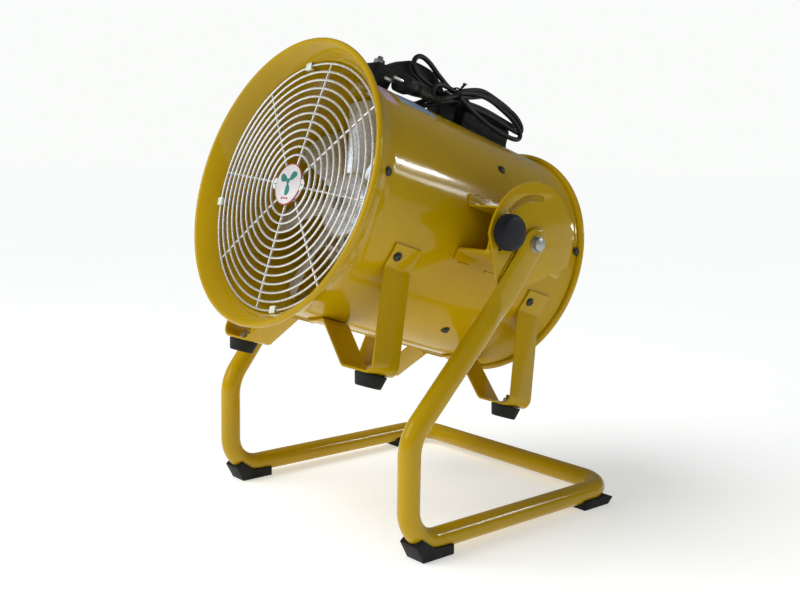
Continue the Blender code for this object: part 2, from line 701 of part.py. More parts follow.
def make_motor():
    housing = ring_profile(MOTOR_R - MOTOR_WALL, MOTOR_R, -MOTOR_HALF_LENGTH, MOTOR_HALF_LENGTH)
    turned("motor_housing", housing, GREY_PAINT, DRUM_FRAME)
    stator_r = MOTOR_R - MOTOR_WALL - GAP
    turned("stator_core", ring_profile(ROTOR_R + AIR_GAP, stator_r, -STATOR_HALF_LENGTH, STATOR_HALF_LENGTH),
           DARK_STEEL, DRUM_FRAME)
    turned("rotor_core", ring_profile(SHAFT_R + GAP, ROTOR_R, -STATOR_HALF_LENGTH, STATOR_HALF_LENGTH),
           DARK_STEEL, DRUM_FRAME)
    face = MOTOR_HALF_LENGTH + GAP
    boss_end = face + BEARING_WIDTH + 0.005
    lip = SHAFT_R + 0.0012
    shield = [(0.020, boss_end), (BEARING_R + 0.006, boss_end - 0.002), (BEARING_R + 0.007, face + SHIELD),
              (MOTOR_R - 0.003, face + SHIELD), (MOTOR_R, face + SHIELD - 0.003), (MOTOR_R, face),
              (BEARING_R + GAP, face), (BEARING_R + GAP, face + BEARING_WIDTH + GAP), (lip, face + BEARING_WIDTH + GAP),
              (lip, boss_end)]
    bearing = ring_profile(SHAFT_R + GAP, BEARING_R, face, face + BEARING_WIDTH)
    backwards = (math.radians(-90), 0.0, 0.0)
    for end, turn in (("front", ALONG_AXIS), ("rear", backwards)):
        turned("motor_end_shield_" + end, shield, CAST_ALUMINIUM, DRUM_FRAME, rotation=turn, steps=30)
        turned("bearing_" + end, bearing, ZINC, DRUM_FRAME, rotation=turn, steps=32)
    hub_front = HUB_REAR_S + HUB_LENGTH
    shaft_end = hub_front + 0.016
    shaft = [(0.0, shaft_end), (0.0042, shaft_end), (0.0050, shaft_end - 0.001), (0.0050, hub_front),
             (SHAFT_R, hub_front), (SHAFT_R, -boss_end + 0.002), (0.0, -boss_end + 0.002)]
    turned("motor_shaft", shaft, ZINC, DRUM_FRAME, closed=False, steps=32)
    nut = plate_mesh("impeller_nut", [hexagon(0.0096), arc((0.0, 0.0), 0.0054, 0.0, math.radians(345), 23)], 0.008)
    place("impeller_nut", nut, ZINC, DRUM_FRAME, drum_point(0.0, hub_front + GAP + 0.004, 0.0), ALONG_AXIS,
          smooth=False)


def make_motor_mount():
    """A clamp band round the motor with four sheet arms to the drum's wall."""
    low = MOUNT_S - MOUNT_WIDTH / 2
    high = MOUNT_S + MOUNT_WIDTH / 2
    band_r = MOTOR_R + GAP
    mount = turned("motor_mount", ring_profile(band_r, band_r + ARM_SHEET, low, high), YELLOW_PAINT, DRUM_FRAME)
    reach = INNER_R - GAP
    for i in range(ARMS):
        angle = ARM_ANGLE + 2 * math.pi * i / ARMS
        seat = [on_drum(reach - ARM_SHEET / 2, math.radians(a)) for a in (-0.55, 3, 6)]
        middle = [(band_r + 0.001, 0.0), (reach - ARM_SHEET / 2, 0.0)]
        outline = strip_outline([Vector(middle[0]), Vector(middle[1]) - Vector((0.004, 0.0))]
                                + [seat[0] + Vector((-0.0006, 0.0022))] + seat[1:], ARM_SHEET)
        mesh = plate_mesh("motor_arm", [outline], MOUNT_WIDTH - 0.004)
        turn = Euler(ALONG_AXIS).to_matrix() @ Matrix.Rotation(angle, 3, "Z")
        join(mount, cutter("motor_arm_" + str(i + 1), mesh, DRUM_FRAME, drum_point(0.0, MOUNT_S, 0.0),
                           turn.to_euler()))


def blade_mesh():
    """One twisted, cambered blade as a thin closed sheet, along local X, with the axis along Z."""
    radial = 4
    across = 4
    front = []
    for i in range(radial + 1):
        t = i / radial
        radius = HUB_R - 0.0025 + (BLADE_TIP_R - HUB_R + 0.0025) * t
        stagger = math.radians(52 - 25 * t)
        chord = 0.046 + 0.024 * t
        row = []
        for j in range(across + 1):
            u = j / across - 0.5
            camber = 0.0075 * (1 - 4 * u * u)
            round_off = chord * u * math.cos(stagger) - camber * math.sin(stagger)
            lift = chord * u * math.sin(stagger) + camber * math.cos(stagger)
            angle = round_off / radius + 0.14 * t
            row.append((radius * math.cos(angle), radius * math.sin(angle), lift))
        front.append(row)
    mesh = bpy.data.meshes.new("blade")
    verts = [p for row in front for p in row]
    stride = across + 1
    faces = [(i * stride + j, (i + 1) * stride + j, (i + 1) * stride + j + 1, i * stride + j + 1)
             for i in range(radial) for j in range(across)]
    mesh.from_pydata(verts, [], faces)
    return mesh


def solid_sheet(name, mesh, thickness):
    """A sheet made solid by Solidify, baked so that a Boolean can take it."""
    holder = bpy.data.objects.new(name, mesh)
    bpy.context.scene.collection.objects.link(holder)
    solidify = holder.modifiers.new("sheet", "SOLIDIFY")
    solidify.thickness = thickness
    solidify.offset = 0.0
    graph = bpy.context.evaluated_depsgraph_get()
    made = bpy.data.meshes.new_from_object(holder.evaluated_get(graph))
    bpy.data.objects.remove(holder, do_unlink=True)
    weld(made)
    return made


def make_impeller():
    rear = HUB_REAR_S
    front = HUB_REAR_S + HUB_LENGTH
    rim = front - 0.006
    hub = [(SHAFT_R + 0.010, front - 0.002), (HUB_R - 0.008, front - 0.003), (HUB_R - 0.002, rim), (HUB_R, rim - 0.004),
           (HUB_R, rear), (HUB_R - 0.004, rear), (HUB_R - 0.005, rim - 0.004), (SHAFT_R + 0.009, rim - 0.004),
           (SHAFT_R + 0.008, rear + 0.010), (SHAFT_R + GAP, rear + 0.010), (SHAFT_R + GAP, front - GAP),
           (SHAFT_R + 0.008, front - GAP)]
    impeller = turned("impeller", hub, CAST_ALUMINIUM, DRUM_FRAME, steps=40)
    blade = solid_sheet("blade", blade_mesh(), BLADE_SHEET)
    middle = (rear + rim) / 2
    for i in range(BLADES):
        turn = Euler(ALONG_AXIS).to_matrix() @ Matrix.Rotation(2 * math.pi * i / BLADES, 3, "Z")
        join(impeller, cutter("blade_" + str(i + 1), blade, DRUM_FRAME, drum_point(0.0, middle, 0.0),
                              turn.to_euler()))


# ---- Handle and terminal box --------------------------------------------------------------------

def handle_outline():
    """Side outline of the handle in s and up, about its middle, mirrored front to rear."""
    foot = BODY_R + GAP
    half = HANDLE_HALF_LENGTH
    outer = [(half, foot), (half, HANDLE_LAND - 0.006), (half - 0.005, HANDLE_LAND), (half - 0.026, HANDLE_LAND),
             (half - 0.040, HANDLE_LAND + 0.012), (half * 0.28, HANDLE_TOP - 0.0015)]
    inner = [(half * 0.25, HANDLE_UNDERSIDE - 0.001), (half * 0.42, HANDLE_UNDERSIDE - 0.006),
             (half * 0.58, HANDLE_UNDERSIDE - 0.019), (half * 0.62, foot)]
    front_side = outer + [(0.0, HANDLE_TOP)]
    rear_side = [(-s, up) for s, up in reversed(outer)]
    underside = [(-s, up) for s, up in reversed(inner)] + [(0.0, HANDLE_UNDERSIDE)] + inner
    return front_side + rear_side + underside


def make_handle():
    outline = [(-(HANDLE_MID_S + s), up) for s, up in handle_outline()]
    mesh = plate_mesh("handle", [outline], HANDLE_WIDTH, bevel=0.003)
    handle = place("handle", mesh, BLACK_PLASTIC, DRUM_FRAME, rotation=SIDE_VIEW)
    for end, name in ((1, "front"), (-1, "rear")):
        s = HANDLE_MID_S + end * HANDLE_BOLT_S
        drill = cylinder_mesh("handle_drill", STUD_R + BOLT_CLEARANCE, BODY_R - 0.01, HANDLE_LAND + 0.02, 16)
        cut(handle, cutter("handle_drill_" + name, drill, DRUM_FRAME, drum_point(0.0, s, 0.0)))
        hex_bolt("handle_bolt_" + name, 0.013, 0.0058, STUD_R, HANDLE_LAND - INNER_R + 0.012, ZINC, DRUM_FRAME,
                 drum_point(0.0, s, HANDLE_LAND + GAP), (0.0, 0.0, 0.0))


def make_terminal_box():
    low = drum_point(-BOX_HALF_WIDTH, BOX_FRONT_S, BODY_R - 0.012)
    high = drum_point(BOX_HALF_WIDTH, BOX_REAR_S, BOX_RIM)
    box = place("terminal_box", box_mesh("terminal_box", low, high, 0.002), BLACK_PLASTIC, DRUM_FRAME)
    wall = Vector((BOX_WALL, BOX_WALL, 0.0))
    hollow = box_mesh("box_hollow", low + wall + Vector((0, 0, -0.01)), high - wall + Vector((0, 0, 0.01)))
    cut(box, cutter("box_hollow", hollow, DRUM_FRAME))
    drum = cylinder_mesh("box_seat", BODY_R + GAP, -0.20, 0.20, 96)
    cut(box, cutter("box_seat", drum, DRUM_FRAME, rotation=ALONG_AXIS))
    lid_low = drum_point(-BOX_HALF_WIDTH, BOX_FRONT_S, BOX_RIM + GAP)
    lid_high = drum_point(BOX_HALF_WIDTH, BOX_REAR_S, LID_TOP)
    place("terminal_box_lid", box_mesh("terminal_box_lid", lid_low, lid_high, 0.0022), BLACK_PLASTIC, DRUM_FRAME)
    capacitor_r = 0.0105
    capacitor = disc_profile(capacitor_r, 0.0, 0.062, 0.001)
    turned("capacitor", capacitor, WHITE_ENAMEL, DRUM_FRAME,
           drum_point(0.008, BOX_REAR_S + 0.026, BOX_RIM - capacitor_r - 0.001), closed=False, steps=28)
    gland = [(0.0, GLAND_LENGTH), (GLAND_R * 0.62, GLAND_LENGTH), (GLAND_R * 0.80, GLAND_LENGTH - 0.003),
             (GLAND_R * 0.84, 0.004), (GLAND_R, 0.004), (GLAND_R, 0.0), (0.0, 0.0)]
    turned("cable_gland", gland, BLACK_PLASTIC, DRUM_FRAME, drum_point(GLAND_X, BOX_REAR_S - GAP, GLAND_UP),
           (math.radians(-90), 0.0, 0.0), 24, closed=False)


# ---- Pivots and knobs -----------------------------------------------------------------------------

def make_pivots():
    face = LOBE_X + LOBE_THICKNESS / 2 + GAP
    web_inside = BRACKET_X - BRACKET_SHEET
    shank = face - web_inside + 0.011
    for side, hand in ((1, "right"), (-1, "left")):
        turn = (0.0, math.radians(90 * side), 0.0)
        hex_bolt("pivot_bolt_" + hand, 0.0165, 0.0068, PIVOT_BOLT_R, shank, ZINC, STAND_FRAME,
                 (side * face, 0.0, PIVOT_Z), turn)
        loop = arc((0.0, 0.0), PIVOT_BOLT_R + BOLT_CLEARANCE, 0.0, math.radians(345), 23)
        nut = plate_mesh("pivot_nut", [hexagon(0.0095), loop], 0.008)
        place("pivot_nut_" + hand, nut, ZINC, STAND_FRAME, (side * (web_inside - GAP - 0.004), 0.0, PIVOT_Z), turn,
              smooth=False)


def knob_profile():
    """The clamp knob along its stud, with a blind bore for it."""
    back = KNOB_BOSS
    top = KNOB_BOSS + KNOB_DEPTH
    bore = STUD_R + BOLT_CLEARANCE
    crown = [(0.0, top), (KNOB_R * 0.40, top - 0.0004), (KNOB_R * 0.70, top - 0.0017),
             (KNOB_R * 0.86, top - 0.0036), (KNOB_R * 0.95, top - 0.0062), (KNOB_R, top - 0.0100)]
    rim = [(KNOB_R, back + 0.0010), (KNOB_R - 0.0010, back), (KNOB_BOSS_R, back), (KNOB_BOSS_R, 0.0)]
    return crown + rim + [(bore, 0.0), (bore, top - 0.006), (0.0, top - 0.006)]


def make_knobs():
    plate_face = BRACKET_X + GAP + PLATE_THICKNESS
    web_inside = BRACKET_X - BRACKET_SHEET
    for side, hand in ((1, "right"), (-1, "left")):
        turn = (0.0, math.radians(90 * side), 0.0)
        frame = new_empty("knob_axis_" + hand, drum_point(side * (plate_face + GAP), SLOT_R, 0.0), turn, DRUM_FRAME)
        turned("clamp_knob_" + hand, knob_profile(), BLACK_PLASTIC, frame, rotation=(0.0, 0.0, 0.0), steps=28,
               closed=False)
        stud_length = plate_face + KNOB_BOSS + KNOB_DEPTH - 0.008 - web_inside
        head_back = -(web_inside - GAP)
        back = (0.0, math.radians(-90 * side), 0.0)
        hex_bolt("clamp_stud_" + hand, 0.013, 0.0055, STUD_R, stud_length, ZINC, DRUM_FRAME,
                 drum_point(-side * head_back, SLOT_R, 0.0), back)


# ---- Cord and plug --------------------------------------------------------------------------------

def smooth_route(points, spacing):
    """Points read at an even spacing from a Catmull-Rom curve through the route's own points."""
    ends = [points[0] * 2 - points[1]] + list(points) + [points[-1] * 2 - points[-2]]
    fine = []
    for a, b, c, d in zip(ends, ends[1:], ends[2:], ends[3:]):
        for i in range(24):
            t = i / 24
            fine.append(0.5 * (2 * b + (c - a) * t + (2 * a - 5 * b + 4 * c - d) * t ** 2
                               + (3 * b - a - 3 * c + d) * t ** 3))
    fine.append(points[-1])
    lengths = [0.0]
    for a, b in zip(fine, fine[1:]):
        lengths.append(lengths[-1] + (b - a).length)
    count = max(3, round(lengths[-1] / spacing))
    wanted = [lengths[-1] * i / count for i in range(count + 1)]
    route = []
    k = 0
    for distance in wanted:
        while k < len(lengths) - 2 and lengths[k + 1] < distance:
            k += 1
        span = lengths[k + 1] - lengths[k]
        route.append(fine[k].lerp(fine[k + 1], (distance - lengths[k]) / span if span else 0.0))
    return route


def make_cord():
    front = Vector((HANK_FRONT[0], HANK_FRONT[1]))
    rear = Vector((HANK_REAR[0], HANK_REAR[1]))
    lean = math.atan2(front.y - rear.y, front.x - rear.x)
    start = arc(front, HANK_HALF_DEPTH, lean + math.pi / 2, lean - math.pi / 2, 8)
    end = arc(rear, HANK_HALF_DEPTH, lean - math.pi / 2, lean - 3 * math.pi / 2, 8)
    outline = [(-s, up) for s, up in start + end]
    hank = plate_mesh("cord_hank", [outline], 2 * HANK_HALF_WIDTH, bevel=0.004)
    place("cord_hank", hank, CORD_BLACK, DRUM_FRAME, (HANK_X, 0.0, 0.0), SIDE_VIEW)
    make_hank_tie(lean)

    gland_end = BOX_REAR_S - GAP - GLAND_LENGTH - GAP
    far_side = HANK_X - HANK_HALF_WIDTH - GAP
    lead = [drum_point(GLAND_X, gland_end, GLAND_UP), drum_point(GLAND_X - 0.0005, gland_end - 0.008, GLAND_UP),
            drum_point(-0.0160, -0.1390, 0.1685), drum_point(-0.0360, -0.1470, 0.1620),
            drum_point(-0.0560, -0.1390, 0.1565), drum_point(-0.0660, -0.1200, 0.1525),
            drum_point(-0.0650, -0.0980, 0.1550), drum_point(-0.0560, -0.0780, 0.1650),
            drum_point(-0.0420, -0.0650, 0.1820), drum_point(far_side - 0.019, -0.0605, 0.2000),
            drum_point(far_side - 0.009, -0.0600, 0.2070), drum_point(far_side, -0.0600, 0.2070)]
    place_tube("cord_lead", smooth_route(lead, 0.008))

    plug_back = PLUG_FRONT_S - PLUG_LENGTH
    near_side = HANK_X + HANK_HALF_WIDTH + GAP
    tail = [drum_point(PLUG_X, plug_back - GAP, PLUG_UP), drum_point(PLUG_X + 0.001, plug_back - 0.014, PLUG_UP),
            drum_point(0.0430, 0.0440, 0.1740), drum_point(0.0500, 0.0240, 0.1840),
            drum_point(0.0520, 0.0060, 0.1990), drum_point(near_side + 0.016, -0.0050, 0.2110),
            drum_point(near_side + 0.008, -0.0080, 0.2142), drum_point(near_side, -0.0080, 0.2142)]
    place_tube("cord_tail", smooth_route(tail, 0.008))


def make_hank_tie(lean):
    """A band round the hank, square to its length."""
    half_width = HANK_HALF_WIDTH + GAP
    half_depth = HANK_HALF_DEPTH + GAP
    loops = []
    for grow in (TIE_THICKNESS, 0.0):
        x = half_width + grow
        y = half_depth + grow
        loops.append([(x, y), (-x, y), (-x, -y), (x, -y)])
    rise = (HANK_FRONT[1] - HANK_REAR[1]) / (HANK_FRONT[0] - HANK_REAR[0])
    up = HANK_REAR[1] + rise * (TIE_S - HANK_REAR[0])
    mesh = plate_mesh("hank_tie", loops, TIE_WIDTH)
    place("hank_tie", mesh, BLACK_PLASTIC, DRUM_FRAME, drum_point(HANK_X, TIE_S, up),
          (math.radians(90) - lean, 0.0, 0.0), smooth=False)


def place_tube(name, points):
    obj = bpy.data.objects.new(name, tube_curve(name, points, CORD_R, 8))
    PARTS.objects.link(obj)
    obj.parent = DRUM_FRAME
    obj.data.materials.append(new_material(name + "_" + CORD_BLACK[0], *CORD_BLACK[1:]))


def make_plug():
    back = PLUG_FRONT_S - PLUG_LENGTH
    body = [(0.0, PLUG_FRONT_S), (0.0165, PLUG_FRONT_S), (0.0180, PLUG_FRONT_S - 0.002),
            (0.0175, PLUG_FRONT_S - 0.016), (0.0125, PLUG_FRONT_S - 0.028), (0.0080, back + 0.016),
            (0.0055, back), (0.0, back)]
    plug = turned("plug_body", body, BLACK_PLASTIC, DRUM_FRAME, drum_point(PLUG_X, 0.0, PLUG_UP), closed=False,
                  steps=32)
    plug.scale = (1.0, 0.62, 1.0)
    for side, name in ((1, "plug_pin_right"), (-1, "plug_pin_left")):
        low = PLUG_FRONT_S + GAP
        pin = disc_profile(PIN_R, low, low + PIN_LENGTH, 0.0006)
        turned(name, pin, BRASS, DRUM_FRAME, drum_point(PLUG_X + side * PIN_HALF_SPACING, 0.0, PLUG_UP),
               closed=False, steps=16)


make_stand()
make_sector_plates()
make_stand_feet()
make_shell()
make_side_brackets()
make_foot_brackets()
make_grille()
make_motor()
make_motor_mount()
make_impeller()
make_handle()
make_terminal_box()
make_pivots()
make_knobs()
make_cord()
make_plug()
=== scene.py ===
import math

import bmesh
import bpy
from mathutils import Euler, Matrix, Vector


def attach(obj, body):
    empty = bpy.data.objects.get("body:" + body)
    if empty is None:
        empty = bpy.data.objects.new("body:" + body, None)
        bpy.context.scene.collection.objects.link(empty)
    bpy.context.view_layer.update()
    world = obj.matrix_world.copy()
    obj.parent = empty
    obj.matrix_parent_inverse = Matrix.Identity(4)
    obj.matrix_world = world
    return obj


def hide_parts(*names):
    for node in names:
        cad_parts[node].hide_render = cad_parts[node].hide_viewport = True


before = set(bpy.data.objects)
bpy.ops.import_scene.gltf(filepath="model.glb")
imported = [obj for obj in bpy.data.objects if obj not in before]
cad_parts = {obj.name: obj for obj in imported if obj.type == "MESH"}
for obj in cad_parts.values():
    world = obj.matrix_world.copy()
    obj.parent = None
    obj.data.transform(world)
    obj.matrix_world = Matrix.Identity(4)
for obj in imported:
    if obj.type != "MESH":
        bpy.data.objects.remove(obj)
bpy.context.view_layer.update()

# ---- Layout, as in the part's own source ---------------------------------------------------------
GAP = 0.0003
PIVOT_Y = 0.0422
PIVOT_Z = 0.376
TILT = math.radians(17.2)
TUBE_R = 0.014
RAIL_X = 0.200
RAIL_Z = 0.020
POST_Y = -0.1865
REAR_RAIL_Y = 0.195
KNEE_Z = 0.152
KNEE_BEND_R = 0.060
BOTTOM_BEND_R = 0.045
BRACKET_X = 0.2095
BRACKET_SHEET = 0.0025
BRACKET_HALF_HEIGHT = 0.029
BRACKET_HALF_LENGTH = 0.070
PLATE_THICKNESS = 0.004
PLATE_R = 0.0775
SLOT_R = 0.0575
SLOT_REAR_ANGLE = math.radians(76)
SLOT_FRONT_ANGLE = math.radians(180)
LOBE_THICKNESS = 0.007
LOBE_X = BRACKET_X + GAP + PLATE_THICKNESS + GAP + LOBE_THICKNESS / 2
LOBE_WIDEN = 1.36
LOBE_END_R = 0.0205
LOBE_LENGTH = 0.082
LOBE_BLEND = 0.050
BODY_R = 0.159
WALL = 0.0015
INNER_R = BODY_R - WALL
FLARE_START = 0.195
BELL_ROLL_R = 0.184
BELL_ROLL = 0.004
BELL_END = 0.250
REAR_ROLL_R = 0.163
REAR_ROLL = 0.0045
REAR_END = -0.1635
STRIP = 0.003
STRIP_WIDTH = 0.042
FRONT_STRIP_S = 0.166
REAR_STRIP_S = -0.083
STRIP_DEPTH = 0.2055
CONE_X = 0.142
CONE_TOP_R = 0.0200
CONE_BOTTOM_R = 0.0155
CONE_HEIGHT = 0.0165
WIRE_R = 0.0016
GRILLE_S = 0.2256
GRILLE_R = 0.162
GRILLE_INNER_R = 0.0395
GRILLE_RINGS = 12
GRILLE_DOME = 0.0045
SPOKES = 8
SPOKE_ANGLE = math.radians(-5)
CLIP_ANGLE = math.radians(10)
BADGE_R = 0.027
GUARD_S = -0.148
GUARD_R = 0.1548
GUARD_INNER_R = 0.044
GUARD_RINGS = 7
HUB_R = 0.046
HUB_REAR_S = 0.098
HUB_LENGTH = 0.048
SHAFT_R = 0.008
BLADES = 8
BLADE_TIP_R = 0.150
KNOB_R = 0.0225
KNOB_BOSS_R = 0.011
KNOB_BOSS = 0.006
KNOB_DEPTH = 0.018
HANDLE_MID_S = 0.077
HANDLE_HALF_LENGTH = 0.079
HANDLE_WIDTH = 0.028
HANDLE_LAND = 0.194
HANDLE_TOP = 0.2175
HANDLE_UNDERSIDE = 0.1945
HANDLE_BOLT_S = 0.0640
BOX_FRONT_S = -0.008
BOX_REAR_S = -0.105
BOX_HALF_WIDTH = 0.024
BOX_RIM = 0.184
LID_TOP = 0.192
GLAND_X = -0.008
GLAND_UP = 0.1710
GLAND_R = 0.009
GLAND_LENGTH = 0.013
PLUG_X = 0.0370
PLUG_UP = 0.1720
PLUG_FRONT_S = 0.128
CORD_R = 0.0035
MOTOR_R = 0.0580
MOTOR_INNER_R = 0.0540
MOTOR_HALF_LENGTH = 0.055
MOUNT_S = -0.003
GRILLE_SCREW_S = 0.210
GUARD_SCREW_S = -0.1525
STRIP_OUTER_X = 0.1665
STRIP_INNER_X = 0.1090
SHARP_ANGLE = math.radians(38)
SIDES = ((1, "right"), (-1, "left"))

# ---- Frames --------------------------------------------------------------------------------------
IDENTITY = Matrix.Identity(4)
DRUM = Matrix.Translation((0.0, PIVOT_Y, PIVOT_Z)) @ Matrix.Rotation(-TILT, 4, "X")
STAND = Matrix.Translation((0.0, PIVOT_Y, 0.0))
ALONG = Matrix.Rotation(math.radians(90), 4, "X")      # local Z to drum forward
BACKWARDS = Matrix.Rotation(math.radians(-90), 4, "X")  # local Z to drum rearward
SIDE_VIEW = Euler((math.radians(90), 0.0, math.radians(90))).to_matrix().to_4x4()


def in_drum(x, s, up):
    """A place in the drum's own frame: s runs forward along its axis, up is square to it."""
    return Vector((x, -s, up))


def at(x, s, up):
    return Matrix.Translation(in_drum(x, s, up))


# ---- Camera --------------------------------------------------------------------------------------

CAMERA_PLACE = (1.08071, -0.96623 + PIVOT_Y, 0.48104)
CAMERA_RIGHT = (0.65178, 0.75821, 0.01729)
CAMERA_BACK = (0.74955, -0.64747, 0.13772)
LENS_MM = 46.23
SENSOR_MM = 36.0


def make_camera():
    """The photo's own camera, solved together with the object's sizes."""
    data = bpy.data.cameras.new("camera")
    camera = bpy.data.objects.new("camera", data)
    bpy.context.scene.collection.objects.link(camera)
    data.sensor_width = SENSOR_MM
    data.lens = LENS_MM
    right = Vector(CAMERA_RIGHT).normalized()
    back = Vector(CAMERA_BACK).normalized()
    up = back.cross(right).normalized()
    right = up.cross(back)
    turn = Matrix((right, up, back)).transposed().to_4x4()
    camera.matrix_world = Matrix.Translation(CAMERA_PLACE) @ turn
    bpy.context.scene.camera = camera


make_camera()


# ---- Materials -----------------------------------------------------------------------------------

class Look:
    """A material with its node tree and a few shorthands for building it."""

    def __init__(self, name, slot):
        self.material = bpy.data.materials.new(name)
        self.material.use_nodes = True
        self.tree = self.material.node_tree
        self.shader = self.tree.nodes["Principled BSDF"]
        self.slot = slot
        self.coordinates = self.tree.nodes.new("ShaderNodeTexCoord")

    def set(self, **values):
        for name, value in values.items():
            self.shader.inputs[name.replace("_", " ")].default_value = value

    def node(self, kind, **inputs):
        made = self.tree.nodes.new(kind)
        for name, value in inputs.items():
            made.inputs[name.replace("_", " ")].default_value = value
        return made

    def link(self, source, target):
        self.tree.links.new(source, target)

    def noise(self, scale, detail=3.0):
        made = self.node("ShaderNodeTexNoise", Scale=scale, Detail=detail, Roughness=0.55)
        self.link(self.coordinates.outputs["Object"], made.inputs["Vector"])
        return made.outputs["Fac"]

    def ramp(self, source, stops):
        made = self.tree.nodes.new("ShaderNodeValToRGB")
        while len(made.color_ramp.elements) < len(stops):
            made.color_ramp.elements.new(0.5)
        for element, (place, colour) in zip(made.color_ramp.elements, stops):
            element.position = place
            element.color = (*colour, 1.0)
        self.link(source, made.inputs["Fac"])
        return made.outputs["Color"]

    def range(self, source, low, high, start=0.3, end=0.7):
        made = self.tree.nodes.new("ShaderNodeMapRange")
        made.inputs["From Min"].default_value = start
        made.inputs["From Max"].default_value = end
        made.inputs["To Min"].default_value = low
        made.inputs["To Max"].default_value = high
        self.link(source, made.inputs["Value"])
        return made.outputs["Result"]

    def mix(self, amount, first, second):
        made = self.tree.nodes.new("ShaderNodeMix")
        made.data_type = "RGBA"
        self.link(amount, made.inputs["Factor"])
        for value, socket in ((first, made.inputs["A"]), (second, made.inputs["B"])):
            if isinstance(value, tuple):
                socket.default_value = (*value, 1.0)
            else:
                self.link(value, socket)
        return made.outputs["Result"]

    def bump(self, source, distance, strength=1.0, under=None):
        made = self.node("ShaderNodeBump", Strength=strength, Distance=distance)
        self.link(source, made.inputs["Height"])
        if under:
            self.link(under, made.inputs["Normal"])
        return made.outputs["Normal"]

    def colour(self, source):
        self.link(source, self.shader.inputs["Base Color"])

    def rough(self, source):
        self.link(source, self.shader.inputs["Roughness"])

    def normal(self, source):
        self.link(source, self.shader.inputs["Normal"])


def paint_look(name, slot, base, roughness=0.20, coat=0.14):
    """Glossy enamel: slow changes of tone, orange peel, a little dust, and tiny grains in the film."""
    look = Look(name, slot)
    dark = tuple(c * 0.90 for c in base)
    light = tuple(min(c * 1.07, 1.0) for c in base)
    tone = look.ramp(look.noise(5.0, 4.0), [(0.35, dark), (0.65, light)])
    grains = look.ramp(look.noise(900.0, 1.0), [(0.72, (0.0, 0.0, 0.0)), (0.80, (1.0, 1.0, 1.0))])
    speck = tuple(c * 0.55 for c in base)
    tone = look.mix(grains, tone, speck)
    look.colour(tone)
    look.rough(look.range(look.noise(14.0, 5.0), roughness * 0.8, roughness * 1.45))
    peel = look.bump(look.noise(170.0, 2.0), 0.00022, 0.35)
    wave = look.bump(look.noise(16.0, 2.0), 0.0012, 0.12, peel)
    look.normal(wave)
    look.set(Coat_Weight=coat, Coat_Roughness=0.03, IOR=1.30)
    return look


def rubber_look(name, slot, base=(0.0085, 0.0095, 0.0085)):
    """Moulded rubber, faintly grained and dusty."""
    look = Look(name, slot)
    dusty = tuple(c * 2.2 + 0.006 for c in base)
    dust = look.range(look.noise(28.0, 6.0), 0.0, 0.65, 0.45, 0.75)
    look.colour(look.mix(dust, base, dusty))
    look.rough(look.range(look.noise(60.0, 3.0), 0.55, 0.78))
    look.normal(look.bump(look.noise(650.0, 2.0), 0.0002, 0.5))
    look.set(IOR=1.32)
    return look


def plastic_look(name, slot, base, roughness=0.38, grain=520.0, depth=0.00016):
    """Moulded plastic with a fine spark-eroded grain."""
    look = Look(name, slot)
    lighter = tuple(c * 1.35 + 0.003 for c in base)
    look.colour(look.ramp(look.noise(22.0, 4.0), [(0.35, base), (0.70, lighter)]))
    look.rough(look.range(look.noise(40.0, 4.0), roughness * 0.85, roughness * 1.2))
    look.normal(look.bump(look.noise(grain, 2.0), depth, 0.55))
    look.set(IOR=1.31)
    return look


def metal_look(name, slot, base, roughness, stain=0.75, bumps=0.45):
    """Bare or plated metal with tarnish clouds and fine scratches."""
    look = Look(name, slot)
    dull = tuple(c * stain for c in base)
    look.colour(look.ramp(look.noise(45.0, 5.0), [(0.30, dull), (0.62, base)]))
    look.rough(look.range(look.noise(90.0, 4.0), roughness * 0.75, roughness * 1.5))
    look.normal(look.bump(look.noise(420.0, 3.0), 0.00012, bumps))
    look.set(Metallic=1.0)
    return look


YELLOW = paint_look("yellow_enamel", "yellow_paint", (0.515, 0.322, 0.0012), 0.11)
# A darker copy of the drum's yellow enamel for the motor cradle inside the drum: its darker base colour is
# painted shade.
SHADED_INNER_YELLOW = paint_look("yellow_enamel_inside_painted_shade", "yellow_paint", (0.460, 0.290, 0.002), 0.26, 0.06)
RUBBER = rubber_look("black_rubber", "black_rubber")
KNOB = plastic_look("knob_plastic", "black_plastic", (0.0070, 0.0085, 0.0125), 0.52)
GRIP = plastic_look("grip_plastic", "black_plastic", (0.0060, 0.0070, 0.0070), 0.58)
BOX = plastic_look("box_plastic", "black_plastic", (0.0050, 0.0058, 0.0060), 0.60, 380.0)
JACKET = plastic_look("cord_jacket", "cord_black", (0.0065, 0.0070, 0.0075), 0.38, 800.0, 0.0001)
WIRE = metal_look("plated_wire", "bright_wire", (0.93, 0.93, 0.92), 0.24, 0.92, bumps=0.12)
WIRE.set(Metallic=0.72)
ZINC = metal_look("zinc_plate", "zinc_steel", (0.46, 0.47, 0.45), 0.36)
CAST = metal_look("cast_aluminium", "cast_aluminium", (0.78, 0.82, 0.90), 0.27, 0.86, bumps=0.25)
CAST.set(Metallic=0.75)
STEEL = metal_look("dark_steel", "dark_steel", (0.22, 0.22, 0.23), 0.45)
MOTOR = paint_look("motor_paint", "grey_paint", (0.060, 0.064, 0.070), 0.42, 0.1)
ENAMEL = plastic_look("white_enamel", "white_enamel", (0.62, 0.59, 0.60), 0.22, 90.0, 0.00005)
ENAMEL.set(Coat_Weight=0.4, Coat_Roughness=0.08)
RED = plastic_look("red_enamel", "white_enamel", (0.36, 0.060, 0.065), 0.25, 90.0, 0.00005)
TEAL = plastic_look("teal_enamel", "white_enamel", (0.030, 0.190, 0.150), 0.25, 90.0, 0.00005)
BLUE_FILM = plastic_look("blue_film", "white_enamel", (0.300, 0.400, 0.560), 0.18, 60.0, 0.00005)
PINK_FILM = plastic_look("pink_film", "white_enamel", (0.560, 0.380, 0.470), 0.18, 60.0, 0.00005)
